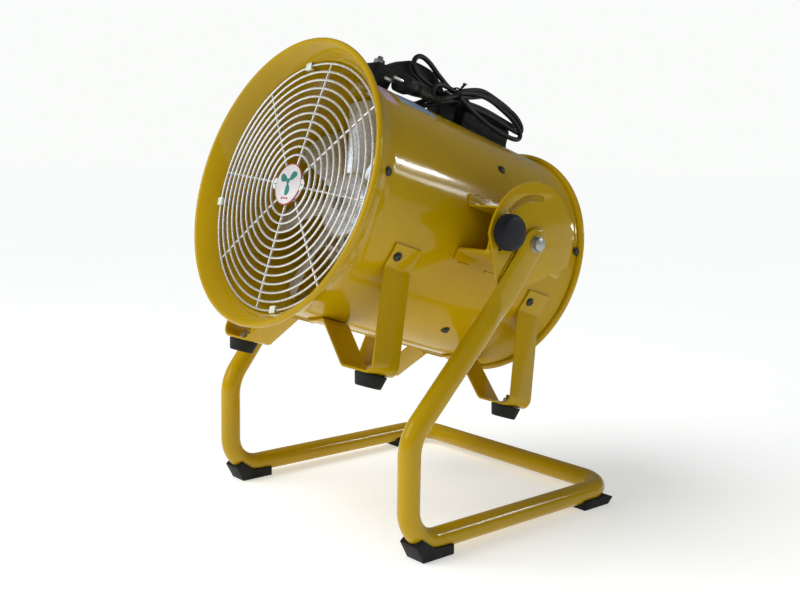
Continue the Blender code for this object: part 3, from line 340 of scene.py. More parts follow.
SCREW = metal_look("screw_steel", "zinc_steel", (0.10, 0.10, 0.085), 0.50)
CLIP = plastic_look("clip_plastic", "white_enamel", (0.66, 0.72, 0.66), 0.35, 300.0, 0.00006)
PIN_METAL = metal_look("pin_plate", "nickel_brass", (0.80, 0.78, 0.72), 0.16, 0.9)


# ---- Building blocks -----------------------------------------------------------------------------

def shade(mesh, look):
    mesh.materials.clear()
    mesh.materials.append(look.material)
    mesh.shade_smooth()
    mesh.set_sharp_from_angle(angle=SHARP_ANGLE)


def place(name, mesh, look, body, matrix, replaced=()):
    """Adds a piece with its material; it rides on the body and may stand for CAD nodes."""
    obj = bpy.data.objects.new(name, mesh)
    bpy.context.scene.collection.objects.link(obj)
    shade(mesh, look)
    obj.matrix_world = matrix
    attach(obj, body)
    if replaced:
        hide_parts(*replaced)
    return obj


def tidy(mesh, distance=1e-6):
    """The mesh with doubled points merged and its faces turned outwards."""
    shape = bmesh.new()
    shape.from_mesh(mesh)
    bmesh.ops.remove_doubles(shape, verts=shape.verts, dist=distance)
    bmesh.ops.recalc_face_normals(shape, faces=shape.faces)
    shape.to_mesh(mesh)
    shape.free()
    return mesh


def evaluated(obj):
    """The object's mesh with its modifiers applied; the object itself goes."""
    graph = bpy.context.evaluated_depsgraph_get()
    mesh = bpy.data.meshes.new_from_object(obj.evaluated_get(graph))
    bpy.data.objects.remove(obj, do_unlink=True)
    return mesh


def scratch(data, name="scratch"):
    obj = bpy.data.objects.new(name, data)
    bpy.context.scene.collection.objects.link(obj)
    return obj


def finished(shape, name):
    """The shape as a mesh, with its faces turned outwards."""
    bmesh.ops.recalc_face_normals(shape, faces=shape.faces)
    mesh = bpy.data.meshes.new(name)
    shape.to_mesh(mesh)
    shape.free()
    return mesh


def join_rings(shape, first, second, steps):
    """Faces between two rings of points, either of which may be a single point."""
    for i in range(steps):
        j = (i + 1) % steps
        corners = [first[i % len(first)], first[j % len(first)]]
        corners += [second[j % len(second)], second[i % len(second)]]
        face = list(dict.fromkeys(corners))
        if len(face) > 2:
            shape.faces.new(face)


def lathe(profile, steps=96, closed=False):
    """A turned mesh from (radius, height) points."""
    shape = bmesh.new()
    rings = []
    for radius, height in profile:
        if radius < 1e-7:
            rings.append([shape.verts.new((0.0, 0.0, height))])
            continue
        rings.append([shape.verts.new((radius * math.cos(2 * math.pi * i / steps),
                                       radius * math.sin(2 * math.pi * i / steps), height))
                      for i in range(steps)])
    pairs = list(zip(rings, rings[1:]))
    if closed:
        pairs.append((rings[-1], rings[0]))
    for first, second in pairs:
        join_rings(shape, first, second, steps)
    return finished(shape, "lathe")


def tube(points, radius, sides=16, cyclic=False, radii=None):
    """A round bar along a path; radii scale it from point to point."""
    curve = bpy.data.curves.new("tube", "CURVE")
    curve.dimensions = "3D"
    curve.bevel_depth = radius
    curve.bevel_resolution = (sides - 4) // 2
    curve.use_fill_caps = not cyclic
    spline = curve.splines.new("POLY")
    spline.points.add(len(points) - 1)
    for i, point in enumerate(points):
        spline.points[i].co = (*point, 1.0)
        if radii:
            spline.points[i].radius = radii[i]
    spline.use_cyclic_u = cyclic
    return tidy(evaluated(scratch(curve)))


def plate(loops, thickness, bevel=0.0, segments=2):
    """A flat piece from closed outlines, the later ones being holes, its edges rounded by bevel."""
    curve = bpy.data.curves.new("plate", "CURVE")
    curve.dimensions = "2D"
    curve.fill_mode = "BOTH"
    curve.extrude = thickness / 2 - bevel
    curve.bevel_depth = bevel
    curve.offset = -bevel
    curve.bevel_resolution = segments
    for loop in loops:
        spline = curve.splines.new("POLY")
        spline.points.add(len(loop) - 1)
        for i, (x, y) in enumerate(loop):
            spline.points[i].co = (x, y, 0.0, 1.0)
        spline.use_cyclic_u = True
    return tidy(evaluated(scratch(curve)))


def block(low, high, bevel, segments=4):
    """A box between two corners, its edges rounded."""
    mesh = bpy.data.meshes.new("block")
    shape = bmesh.new()
    size = [b - a for a, b in zip(low, high)]
    middle = [(a + b) / 2 for a, b in zip(low, high)]
    bmesh.ops.create_cube(shape, size=1.0, matrix=Matrix.Translation(middle) @ Matrix.Diagonal((*size, 1.0)))
    bmesh.ops.bevel(shape, geom=shape.edges[:], offset=bevel, segments=segments, affect="EDGES", profile=0.5)
    shape.to_mesh(mesh)
    shape.free()
    return mesh


def joined(meshes):
    """Several meshes as one, each with its own matrix."""
    shape = bmesh.new()
    for mesh, matrix in meshes:
        part = mesh.copy()
        part.transform(matrix)
        shape.from_mesh(part)
        bpy.data.meshes.remove(part)
    result = bpy.data.meshes.new("joined")
    shape.to_mesh(result)
    shape.free()
    return result


def carved(mesh, tool, matrix=IDENTITY):
    """The first mesh with the second cut away from it."""
    target = scratch(mesh)
    cutter = scratch(tool, "cutter")
    cutter.matrix_world = matrix
    modifier = target.modifiers.new("cut", "BOOLEAN")
    modifier.operation = "DIFFERENCE"
    modifier.solver = "EXACT"
    modifier.object = cutter
    result = evaluated(target)
    bpy.data.objects.remove(cutter, do_unlink=True)
    return result


def arc(centre, radius, start, end, steps):
    angles = [start + (end - start) * i / steps for i in range(steps + 1)]
    return [(centre[0] + radius * math.cos(a), centre[1] + radius * math.sin(a)) for a in angles]


def rounded(points, radii, steps=16):
    """An open path whose inner corners are replaced by arcs, in 2D or 3D."""
    path = [Vector(points[0])]
    for before, corner, after, radius in zip(points, points[1:], points[2:], radii):
        corner = Vector(corner)
        back = (Vector(before) - corner).normalized()
        ahead = (Vector(after) - corner).normalized()
        half = back.angle(ahead) / 2
        middle = corner + (back + ahead).normalized() * (radius / math.sin(half))
        start = corner + back * (radius / math.tan(half)) - middle
        end = corner + ahead * (radius / math.tan(half)) - middle
        sweep = start.angle(end)
        for i in range(steps + 1):
            t = i / steps
            mixed = start * math.sin((1 - t) * sweep) + end * math.sin(t * sweep)
            path.append(middle + mixed / math.sin(sweep))
    path.append(Vector(points[-1]))
    return path


def strip_outline(path, thickness):
    """The closed outline of a bent strip, from its middle line in 2D."""
    left = []
    right = []
    for i, point in enumerate(path):
        before = path[max(i - 1, 0)]
        after = path[min(i + 1, len(path) - 1)]
        first = (point - before).normalized() if i else (after - point).normalized()
        second = (after - point).normalized() if i < len(path) - 1 else first
        along = (first + second).normalized()
        normal = Vector((-along.y, along.x))
        reach = thickness / 2 / max(along.dot(first), 0.3)
        left.append(tuple(point + normal * reach))
        right.append(tuple(point - normal * reach))
    return left + right[::-1]


def on_drum(radius, angle):
    """A point on a circle about the drum's axis, seen along it."""
    return Vector((radius * math.cos(angle), radius * math.sin(angle)))


def smooth_route(points, spacing):
    """Points at an even spacing on a Catmull-Rom curve through the route's own points."""
    points = [Vector(p) for p in points]
    ends = [points[0] * 2 - points[1]] + points + [points[-1] * 2 - points[-2]]
    fine = []
    for a, b, c, d in zip(ends, ends[1:], ends[2:], ends[3:]):
        for i in range(24):
            t = i / 24
            fine.append(0.5 * (2 * b + (c - a) * t + (2 * a - 5 * b + 4 * c - d) * t ** 2
                               + (3 * b - a - 3 * c + d) * t ** 3))
    fine.append(points[-1])
    lengths = [0.0]
    for a, b in zip(fine, fine[1:]):
        lengths.append(lengths[-1] + (b - a).length)
    count = max(3, round(lengths[-1] / spacing))
    route = []
    k = 0
    for i in range(count + 1):
        distance = lengths[-1] * i / count
        while k < len(lengths) - 2 and lengths[k + 1] < distance:
            k += 1
        span = lengths[k + 1] - lengths[k]
        route.append(fine[k].lerp(fine[k + 1], (distance - lengths[k]) / span if span else 0.0))
    return route


def hexagon(radius):
    return [(radius * math.cos(math.radians(60 * i)), radius * math.sin(math.radians(60 * i)))
            for i in range(6)]


def hex_head(across, height, washer_r=0.0, washer=0.0):
    """A hexagon head with chamfered corners standing on z = 0, on a washer if one is given."""
    body = plate([hexagon(across / math.sqrt(3))], height, 0.00035, 1)
    body.transform(Matrix.Translation((0.0, 0.0, height / 2 + washer)))
    crown = lathe([(0.0, height * 1.06), (across * 0.43, height * 1.06), (across * 0.475, height * 0.97),
                   (across * 0.475, height * 0.6), (0.0, height * 0.6)], 36)
    crown.transform(Matrix.Translation((0.0, 0.0, washer)))
    pieces = [(body, IDENTITY), (crown, IDENTITY)]
    if washer:
        disc = lathe([(0.0, washer), (washer_r - 0.0004, washer), (washer_r, washer - 0.0004),
                      (washer_r, 0.0), (0.0, 0.0)], 48)
        pieces.append((disc, IDENTITY))
    return joined(pieces)


def pan_head(radius, height):
    """A pan screw head with a cross recess, standing on z = 0."""
    head = lathe([(0.0, height), (radius * 0.45, height * 0.98), (radius * 0.78, height * 0.84),
                  (radius * 0.95, height * 0.50), (radius, height * 0.15), (radius, 0.0), (0.0, 0.0)], 40)
    wide = radius * 1.05
    narrow = radius * 0.22
    deep = height * 0.5
    low = (-wide / 2, -narrow / 2, height - deep)
    high = (wide / 2, narrow / 2, height + deep)
    for turn in (30, 120):
        slot = block(low, high, narrow * 0.2, 1)
        head = carved(head, slot, Matrix.Rotation(math.radians(turn), 4, "Z"))
    return head


def thread(radius, length, pitch=0.00125):
    """A short length of screw thread, up from z = 0, as fine rings."""
    profile = [(0.0, length), (radius * 0.82, length)]
    count = int(length / pitch)
    for i in range(count, 0, -1):
        top = i * length / count
        profile += [(radius, top - pitch * 0.3), (radius * 0.90, top - pitch * 0.8)]
    profile += [(radius * 0.9, 0.0), (0.0, 0.0)]
    return lathe(profile, 24)


def weld_bead(points, radius, seed):
    """A lumpy fillet along a path."""
    path = smooth_route(points, 0.0016)
    radii = [0.85 + 0.3 * abs(math.sin(i * 1.15 + seed)) for i in range(len(path))]
    return tube(path, radius, 10, radii=radii)


# ---- Cord, plug and tie --------------------------------------------------------------------------

TIE_S = 20.0                    # mm, as the route below
BUNDLE_X = 27.5
BUNDLE_UP = 192.0
BUNDLE_R = 7.2
CORD_STEP = 0.0035              # m between the points of the cord's path


def bundle(k):
    """Place of a strand where the tie holds the bundle: 0 in the middle, 1 to 6 round it (mm)."""
    if k == 0:
        return (BUNDLE_X, TIE_S, BUNDLE_UP)
    angle = math.radians(60 * (k - 1))
    return (BUNDLE_X + BUNDLE_R * math.cos(angle), TIE_S, BUNDLE_UP + BUNDLE_R * math.sin(angle))


def cord_route():
    """The whole lead in the drum's frame: gland, far-side loop, hank of six bights, plug tail."""
    gland_end = (BOX_REAR_S - 2 * GAP - GLAND_LENGTH) * 1000
    mm = [(-8.0, gland_end, 171.0), (-8.0, -126.0, 171.0), (-14.0, -138.0, 169.5), (-28.0, -146.0, 165.0),
          (-44.0, -146.0, 160.0), (-58.0, -137.0, 156.0), (-66.0, -120.0, 153.5), (-66.0, -100.0, 156.0),
          (-59.0, -80.0, 164.0), (-47.0, -64.0, 177.0), (-31.0, -52.0, 192.0), (-14.0, -42.0, 199.5),
          (3.0, -30.0, 201.0), (14.0, -12.0, 198.5), bundle(4),
          # the bight that stands up in front of the tie
          (20.5, 42.0, 191.0), (20.5, 66.0, 193.0), (21.0, 86.0, 197.5), (21.0, 99.0, 206.0),
          (21.0, 101.0, 216.5), (20.5, 91.0, 224.0), (20.5, 73.0, 221.0), (21.0, 50.0, 210.0), bundle(3),
          # first bight behind it, over the terminal box
          (19.0, -4.0, 210.0), (14.0, -40.0, 223.0), (10.0, -80.0, 222.5), (8.0, -112.0, 218.0),
          (8.0, -129.0, 209.0), (11.0, -129.0, 199.5), (15.0, -114.0, 196.5), (18.0, -86.0, 196.5),
          (20.0, -46.0, 197.0), (22.0, -12.0, 193.5), bundle(5),
          # a bight forward through the handle, lying on the drum
          (22.0, 36.0, 179.0), (14.0, 50.0, 169.5), (7.0, 66.0, 163.8), (5.0, 84.0, 162.9),
          (4.0, 102.0, 162.9), (-2.0, 115.0, 162.9), (-11.0, 117.0, 162.7), (-18.0, 107.0, 161.9),
          (-18.5, 91.0, 161.9), (-15.0, 75.0, 162.7), (-7.0, 62.0, 166.5), (3.0, 54.0, 174.0),
          (13.0, 46.0, 182.5), bundle(0),
          # second bight behind
          (25.0, -12.0, 203.0), (21.0, -46.0, 216.0), (18.0, -86.0, 216.0), (17.0, -114.0, 212.0),
          (17.0, -132.0, 202.0), (20.0, -132.0, 191.0), (24.5, -117.0, 187.5), (27.8, -88.0, 188.0),
          (28.2, -48.0, 190.0), (29.5, -12.0, 188.5), bundle(6),
          # a short bight forward, low beside the drum
          (31.5, 40.0, 178.0), (33.0, 54.0, 173.5), (34.5, 66.0, 178.0), (34.5, 68.0, 188.0),
          (33.5, 58.0, 196.0), (32.0, 42.0, 198.0), bundle(2),
          # third bight behind, down the near side of the box
          (30.0, -12.0, 208.0), (28.0, -46.0, 211.5), (26.0, -84.0, 206.0), (25.0, -108.0, 200.0),
          (26.0, -123.0, 190.0), (30.0, -122.0, 179.0), (34.0, -106.0, 173.0), (37.0, -78.0, 171.5),
          (38.0, -42.0, 174.5), (37.5, -8.0, 182.0), bundle(1),
          # tail to the plug
          (39.5, 35.0, 187.0), (44.0, 48.0, 179.5), (42.5, 59.0, 174.0), (38.5, 67.0, 172.2),
          (37.0, 77.5, 172.0)]
    return [(x / 1000, -s / 1000, up / 1000) for x, s, up in mm]


def relaxed(path, passes, held=5):
    """The path with its bends eased, its two ends held."""
    points = list(path)
    for _ in range(passes):
        inner = zip(points[held - 1:], points[held:], points[held + 1:-held + 1])
        points = points[:held] + [(a + b * 2 + c) / 4 for a, b, c in inner] + points[-held:]
    return points


def boot(path, start, end, base, tip, ribs):
    """A tapered sleeve round the cord between two distances along its path, with shallow rings."""
    spacing = (path[1] - path[0]).length
    first = max(0, round(start / spacing))
    last = min(len(path) - 1, round(end / spacing))
    points = smooth_route(path[first:last + 1], 0.0007)
    radii = []
    for i in range(len(points)):
        t = i / (len(points) - 1)
        ring = 0.92 if math.sin(t * ribs * 2 * math.pi) > 0.2 and 0.08 < t < 0.95 else 1.0
        radii.append((base + (tip - base) * t) * ring)
    return tube(points, 1.0, 20, radii=radii)


def make_plug():
    """A moulded round-bodied two-pin plug with a finger grip and a tapered, ringed boot."""
    stations = [(0.000, 17.2, 11.0), (0.0012, 18.0, 11.6), (0.010, 18.0, 11.8), (0.015, 17.4, 11.2),
                (0.018, 15.4, 9.6), (0.024, 13.2, 8.6), (0.030, 12.2, 8.2), (0.036, 9.6, 7.2),
                (0.041, 7.2, 6.4), (0.050, 5.8, 5.4)]
    sides = 56
    shape = bmesh.new()
    rings = []
    for depth, wide, high in stations:
        ring = []
        for i in range(sides):
            angle = 2 * math.pi * i / sides
            c = math.cos(angle)
            s = math.sin(angle)
            x = abs(c) ** 0.8 * math.copysign(wide, c) / 1000
            y = abs(s) ** 0.8 * math.copysign(high, s) / 1000
            ring.append(shape.verts.new((x, y, -depth)))
        rings.append(ring)
    for first, second in zip(rings, rings[1:]):
        join_rings(shape, first, second, sides)
    shape.faces.new(rings[0])
    shape.faces.new(rings[-1][::-1])
    mesh = finished(shape, "plug")
    ring = [(0.02, 0.0009), (0.02, -0.0009), (0.0108, -0.0009), (0.0108, 0.0009)]
    grooves = [(lathe(ring, 32, closed=True),
                Matrix.Translation((0.0, 0.0, -z)) @ Matrix.Diagonal((1.0, 0.66, 1.0, 1.0)))
               for z in (0.0215, 0.0250, 0.0285)]
    mesh = carved(mesh, joined(grooves))
    plug = place("plug_moulding", mesh, JACKET, "drum", DRUM @ at(PLUG_X, PLUG_FRONT_S, PLUG_UP) @ ALONG,
                 ["plug_body"])
    pins = []
    for side, name in ((1, "plug_pin_right"), (-1, "plug_pin_left")):
        pin = lathe([(0.0, 0.0190), (0.0014, 0.0189), (0.0022, 0.0180), (0.0024, 0.0170), (0.0024, 0.0),
                     (0.0, 0.0)], 28)
        matrix = DRUM @ at(PLUG_X + side * 0.0095, PLUG_FRONT_S + GAP, PLUG_UP) @ ALONG
        pins.append(place(name + "_plated", pin, PIN_METAL, "drum", matrix, [name]))
    return [plug] + pins


def make_tie():
    """A covered wire twisted round the bundle, with its two short ends."""
    count = 40
    band_r = 12.3
    ends_r = 12.5
    ends_angle = 0.9
    ends_length = 11.0
    loop = []
    for i in range(count):
        angle = 2 * math.pi * i / count
        x = BUNDLE_X + band_r * math.cos(angle)
        up = BUNDLE_UP + band_r * math.sin(angle)
        loop.append(in_drum(x / 1000, (TIE_S + 1.5 * math.sin(angle)) / 1000, up / 1000))
    band = tube(loop, 0.0012, 8, cyclic=True)
    ends = []
    for turn in (0.0, math.pi):
        points = []
        for i in range(25):
            t = i / 24
            angle = turn + t * 3.5 * math.pi
            spread = 1.1 + 2.2 * max(t - 0.75, 0.0) * 4
            out_x = ends_length * t * 0.62 + spread * math.cos(angle) * 0.78
            out_up = ends_length * t * 0.78 - spread * math.cos(angle) * 0.62
            x = BUNDLE_X + ends_r * math.cos(ends_angle) + out_x
            up = BUNDLE_UP + ends_r * math.sin(ends_angle) + out_up
            points.append(in_drum(x / 1000, (TIE_S + spread * math.sin(angle)) / 1000, up / 1000))
        ends.append((tube(points, 0.0010, 8), IDENTITY))
    return place("hank_tie_wire", joined([(band, IDENTITY)] + ends), GRIP, "drum", DRUM, ["hank_tie"])


def make_cord():
    pieces = make_plug()
    path = relaxed(smooth_route(cord_route(), CORD_STEP), 3)
    path = smooth_route(path, CORD_STEP)
    mesh = tube(path, CORD_R, 14)
    cord = place("mains_cord", mesh, JACKET, "drum", DRUM, ["cord_hank", "cord_lead", "cord_tail"])
    relief = place("gland_boot", boot(path, 0.0, 0.022, 0.0056, 0.0041, 5), JACKET, "drum", DRUM)
    backwards = path[::-1]
    tail = place("plug_boot", boot(backwards, 0.0, 0.022, 0.0056, 0.0040, 6), JACKET, "drum", DRUM)
    tie = make_tie()


# ---- Stand ---------------------------------------------------------------------------------------

def leg_path():
    knee = Vector((RAIL_X, POST_Y, KNEE_Z))
    pivot = Vector((LOBE_X, 0.0, PIVOT_Z))
    blend_end = Vector((LOBE_X, *(pivot + (knee - pivot).normalized() * LOBE_LENGTH).yz))
    return knee, pivot, blend_end


def stand_points():
    """The whole bent tube from one flattened end to the other."""
    knee, pivot, straight_end = leg_path()
    direction = (pivot - straight_end).normalized()
    tip = LOBE_END_R - 0.0004
    corners = [straight_end, knee, (RAIL_X, POST_Y, RAIL_Z), (RAIL_X, REAR_RAIL_Y, RAIL_Z),
               (0.0, REAR_RAIL_Y, RAIL_Z)]
    half = rounded(corners, [KNEE_BEND_R, BOTTOM_BEND_R, BOTTOM_BEND_R], steps=20)
    blend = [straight_end.lerp(half[1], k / 24) for k in range(1, 22)]
    nose = [pivot + direction * (tip * math.cos(math.radians(7.5 * k))) for k in range(12)]
    flat = [pivot.lerp(straight_end, k / 6) for k in range(7)]
    right = nose + flat + blend + half[1:-1]
    left = [Vector((-p.x, p.y, p.z)) for p in reversed(right)]
    return right + left


def flatten_ends(mesh):
    """Presses the tube's two ends flat and rounds their outline about the pivot."""
    knee, pivot, straight_end = leg_path()
    direction = (pivot - straight_end).normalized()
    across = direction.cross(Vector((1.0, 0.0, 0.0))).normalized()
    thin = LOBE_THICKNESS / 2 / TUBE_R
    for vertex in mesh.vertices:
        side = 1.0 if vertex.co.x > 0 else -1.0
        point = Vector((abs(vertex.co.x), vertex.co.y, vertex.co.z))
        below = -(point - pivot).dot(direction)
        if point.z < KNEE_Z or below > LOBE_LENGTH + LOBE_BLEND:
            continue
        t = min(max((LOBE_LENGTH + LOBE_BLEND - below) / LOBE_BLEND, 0.0), 1.0)
        t = t * t * (3 - 2 * t)
        lean = max(below - LOBE_LENGTH, 0.0) / ((knee - pivot).length - LOBE_LENGTH)
        middle_x = LOBE_X + (RAIL_X - LOBE_X) * lean
        width = (point - pivot).dot(across)
        new_width = width * (1 + (LOBE_WIDEN - 1) * t)
        if below < 0:
            new_width *= max(math.sqrt(max(LOBE_END_R ** 2 - below ** 2, 0.0)) / LOBE_END_R, 0.10)
        new_x = middle_x + (point.x - middle_x) * (1 + (thin - 1) * t)
        moved = point + across * (new_width - width)
        vertex.co = (side * new_x, moved.y, moved.z)


def make_stand():
    mesh = tube(stand_points(), TUBE_R, 32)
    flatten_ends(mesh)
    place("stand_tube_bent", mesh, YELLOW, "stand", STAND, ["stand_tube"])


def slot_outline():
    """The arc slot of a sector plate, with round ends."""
    half_width = 0.0044
    centre = (0.0, 0.0)
    front = (SLOT_R * math.cos(SLOT_FRONT_ANGLE), SLOT_R * math.sin(SLOT_FRONT_ANGLE))
    rear = (SLOT_R * math.cos(SLOT_REAR_ANGLE), SLOT_R * math.sin(SLOT_REAR_ANGLE))
    front_end = SLOT_FRONT_ANGLE + math.radians(2)
    rear_end = SLOT_REAR_ANGLE - math.radians(2)
    outer = arc(centre, SLOT_R + half_width, rear_end, front_end, 40)
    cap_front = arc(front, half_width, front_end, front_end + math.pi, 10)[1:-1]
    inner = arc(centre, SLOT_R - half_width, front_end, rear_end, 40)
    cap_rear = arc(rear, half_width, rear_end + math.pi, rear_end + 2 * math.pi, 10)[1:-1]
    turn = Matrix.Rotation(math.radians(2), 2)
    cap_front = [tuple(turn @ Vector(p)) for p in cap_front]
    cap_rear = [tuple(turn.inverted() @ Vector(p)) for p in cap_rear]
    return outer + cap_front + inner + cap_rear


def make_sector_plates():
    """The slotted plates, each with two weld fillets along the flattened leg."""
    top = arc((0.0, 0.0), PLATE_R, math.radians(-25), math.radians(168), 80)
    down_leg = Vector((POST_Y, KNEE_Z - PIVOT_Z)).normalized()
    front_foot = down_leg * (PLATE_R * 1.02)
    outline = top + [(-PLATE_R * 0.864, -PLATE_R * 0.28), (front_foot.x - 0.009, front_foot.y + 0.012),
                     (front_foot.x + 0.006, front_foot.y - 0.002), (PLATE_R * 0.1, -PLATE_R * 0.64)]
    hole = arc((0.0, 0.0), 0.0054, 0.0, math.radians(350), 35)
    middle = BRACKET_X + GAP + PLATE_THICKNESS / 2
    beads = []
    for side in (1, -1):
        across = Vector((-down_leg.y, down_leg.x)) * side
        points = []
        for k in range(7):
            along = 0.030 + 0.034 * k / 6
            flat = down_leg * along + across * (TUBE_R * LOBE_WIDEN + 0.0006)
            points.append((flat.x, flat.y, PLATE_THICKNESS / 2 + 0.0006))
        beads.append(weld_bead(points, 0.0016, side + 3.0))
    flip = Matrix.Diagonal((1.0, 1.0, -1.0, 1.0))
    for side, hand in SIDES:
        mesh = plate([outline, slot_outline(), hole], PLATE_THICKNESS, 0.0006)
        parts = [(mesh, IDENTITY)] + [(bead, IDENTITY if side > 0 else flip) for bead in beads]
        made = tidy(joined(parts))
        place("sector_plate_welded_" + hand, made, YELLOW, "stand",
              STAND @ Matrix.Translation((side * middle, 0.0, PIVOT_Z)) @ SIDE_VIEW, ["sector_plate_" + hand])


def make_stand_feet():
    """Rubber saddles under the four corners; each has a flap that follows the tube's bend."""
    front_y = POST_Y + 0.0005
    for end, base_y, direction in (("front", front_y, 1), ("rear", REAR_RAIL_Y - 0.006, -1)):
        profile = [(0.012, 0.0), (0.062, 0.0), (0.062, 0.0130)]
        if end == "front":
            profile += [(0.030, 0.0150), (0.010, 0.030), (0.0, 0.022)]
        else:
            profile += [(0.014, 0.0130), (0.002, 0.0090)]
        outline = [(base_y + direction * y, z) for y, z in profile]
        for side, hand in SIDES:
            mesh = plate([outline], 0.033, 0.0020, 4)
            mesh.transform(Matrix.Translation((side * RAIL_X, 0.0, 0.0)) @ SIDE_VIEW)
            channel = tube(stand_points(), TUBE_R + GAP, 24)
            place("saddle_foot_" + end + "_" + hand, carved(mesh, channel), RUBBER, "stand", STAND,
                  ["stand_foot_" + end + "_" + hand])


# ---- Drum ----------------------------------------------------------------------------------------

def flare(s):
    """Outer radius of the bell at s."""
    t = (s - FLARE_START) / (BELL_END - BELL_ROLL * 2 - FLARE_START)
    return BODY_R + (BELL_ROLL_R - BODY_R - 0.0025) * t * t


def inner_bell(angle, roll_centre):
    """Inside of the bell, from the straight wall to where it runs into the rolled edge at 45 degrees."""
    points = [(flare(FLARE_START + 0.0017 * k) - WALL, FLARE_START + 0.0017 * k) for k in range(11)]
    r0, s0 = points[-1]
    r1 = roll_centre[0] + BELL_ROLL * math.cos(angle)
    s1 = roll_centre[1] + BELL_ROLL * math.sin(angle)
    span = s1 - s0
    slope = (r0 - points[-2][0]) / 0.0017
    for k in range(1, 18):
        t = k / 18
        radius = ((2 * t ** 3 - 3 * t ** 2 + 1) * r0 + (t ** 3 - 2 * t ** 2 + t) * span * slope
                  + (3 * t ** 2 - 2 * t ** 3) * r1 + (t ** 3 - t ** 2) * span)
        points.append((radius, s0 + span * t))
    return points


def make_shell():
    front = (BELL_ROLL_R, BELL_END - BELL_ROLL)
    rear = (REAR_ROLL_R, REAR_END + REAR_ROLL)
    stations = [FLARE_START + (BELL_END - BELL_ROLL * 2 - FLARE_START) * i / 14 for i in range(15)]
    profile = arc(front, BELL_ROLL, math.radians(135), math.radians(-110), 18)
    profile += [(flare(s), s) for s in reversed(stations[:-1])]
    profile += [(BODY_R, FLARE_START - 0.03 * k) for k in range(1, 11)]
    profile += [(BODY_R, REAR_END + 0.0165), (BODY_R + 0.0005, REAR_END + 0.0150),
                (BODY_R + 0.0015, REAR_END + 0.0120)]
    profile += arc(rear, REAR_ROLL, math.radians(125), math.radians(-170), 20)
    profile += [(INNER_R + 0.0015, REAR_END + 0.0085), (INNER_R, REAR_END + 0.0155)]
    profile += [(INNER_R, -0.14 + 0.03 * k) for k in range(11)]
    profile += inner_bell(math.radians(135), front)
    shell = lathe(profile, 160, closed=True)
    seam_angle = math.radians(-84)
    seam = [(*on_drum(BODY_R - 0.0003, seam_angle), s / 1000) for s in range(-140, 191, 10)]
    bead = weld_bead(seam, 0.0013, 0.4)
    whole = tidy(joined([(shell, IDENTITY), (bead, IDENTITY)]))
    place("drum_shell_spun", whole, YELLOW, "drum", DRUM @ ALONG, ["drum_shell"])


def on_wall(radius, angle, s):
    """Matrix of a fastener on the drum's wall, local Z pointing out along the radius."""
    return (DRUM @ ALONG @ Matrix.Rotation(math.radians(angle), 4, "Z") @ Matrix.Translation((radius, 0.0, s))
            @ Matrix.Rotation(math.radians(90), 4, "Y"))


def screw_with_washer(radius=0.0046, height=0.0030, washer_r=0.0062):
    head = pan_head(radius, height)
    head.transform(Matrix.Translation((0.0, 0.0, 0.0009)))
    disc = lathe([(0.0, 0.0011), (washer_r - 0.0003, 0.0011), (washer_r, 0.0008), (washer_r, -0.0004),
                  (0.0, -0.0004)], 40)
    return joined([(head, IDENTITY), (disc, IDENTITY)])


def make_drum_screws():
    """Pan screws through the wall: grille clips in front, motor mount in the middle, guard at the rear."""
    spots = []
    for k in range(4):
        spots += [("grille", k, flare(GRILLE_SCREW_S) + 0.0002, 10 + 90 * k, GRILLE_SCREW_S),
                  ("mount", k, BODY_R, 37 + 90 * k, MOUNT_S),
                  ("guard", k, BODY_R + 0.0015, 9 + 90 * k, GUARD_SCREW_S)]
    for use, k, radius, angle, s in spots:
        place("wall_screw_" + use + "_" + str(k + 1), screw_with_washer(), SCREW, "drum",
              on_wall(radius, angle, s))


def make_side_brackets():
    """Hat-section stand-offs that carry the pivot bolt and the clamp stud."""
    seat = BODY_R + GAP + BRACKET_SHEET / 2
    root = math.asin(BRACKET_HALF_HEIGHT / seat)
    lip_angles = [root + math.radians(1 + k * 1.0) for k in range(5)]
    web = BRACKET_X - BRACKET_SHEET / 2
    flange = BRACKET_HALF_HEIGHT - BRACKET_SHEET / 2
    upper = [on_drum(seat, a) for a in reversed(lip_angles)]
    corners = [Vector((seat * math.cos(root) + 0.002, flange)), Vector((web, flange)),
               Vector((web, -flange)), Vector((seat * math.cos(root) + 0.002, -flange))]
    bends = rounded([tuple(upper[-1])] + [tuple(c) for c in corners] + [(upper[-1].x, -upper[-1].y)],
                    [0.0015, 0.004, 0.004, 0.0015], steps=8)
    lower = [Vector((p.x, -p.y)) for p in reversed(upper)]
    outline = strip_outline(upper[:-1] + bends + lower[1:], BRACKET_SHEET)
    toe = on_drum(BODY_R + 0.0004, lip_angles[-1] + math.radians(0.6))
    for side, hand in SIDES:
        points = [(side * x, y) for x, y in outline]
        parts = [(plate([points], 2 * BRACKET_HALF_LENGTH, 0.0005), IDENTITY)]
        for high in (1, -1):
            for middle in (-0.048, 0.0, 0.048):
                path = [(side * toe.x, high * toe.y, middle + (k - 3) * 0.003) for k in range(7)]
                parts.append((weld_bead(path, 0.0017, middle * 90 + high), IDENTITY))
        place("side_bracket_pressed_" + hand, tidy(joined(parts)), YELLOW, "drum", DRUM @ ALONG,
              ["side_bracket_" + hand])


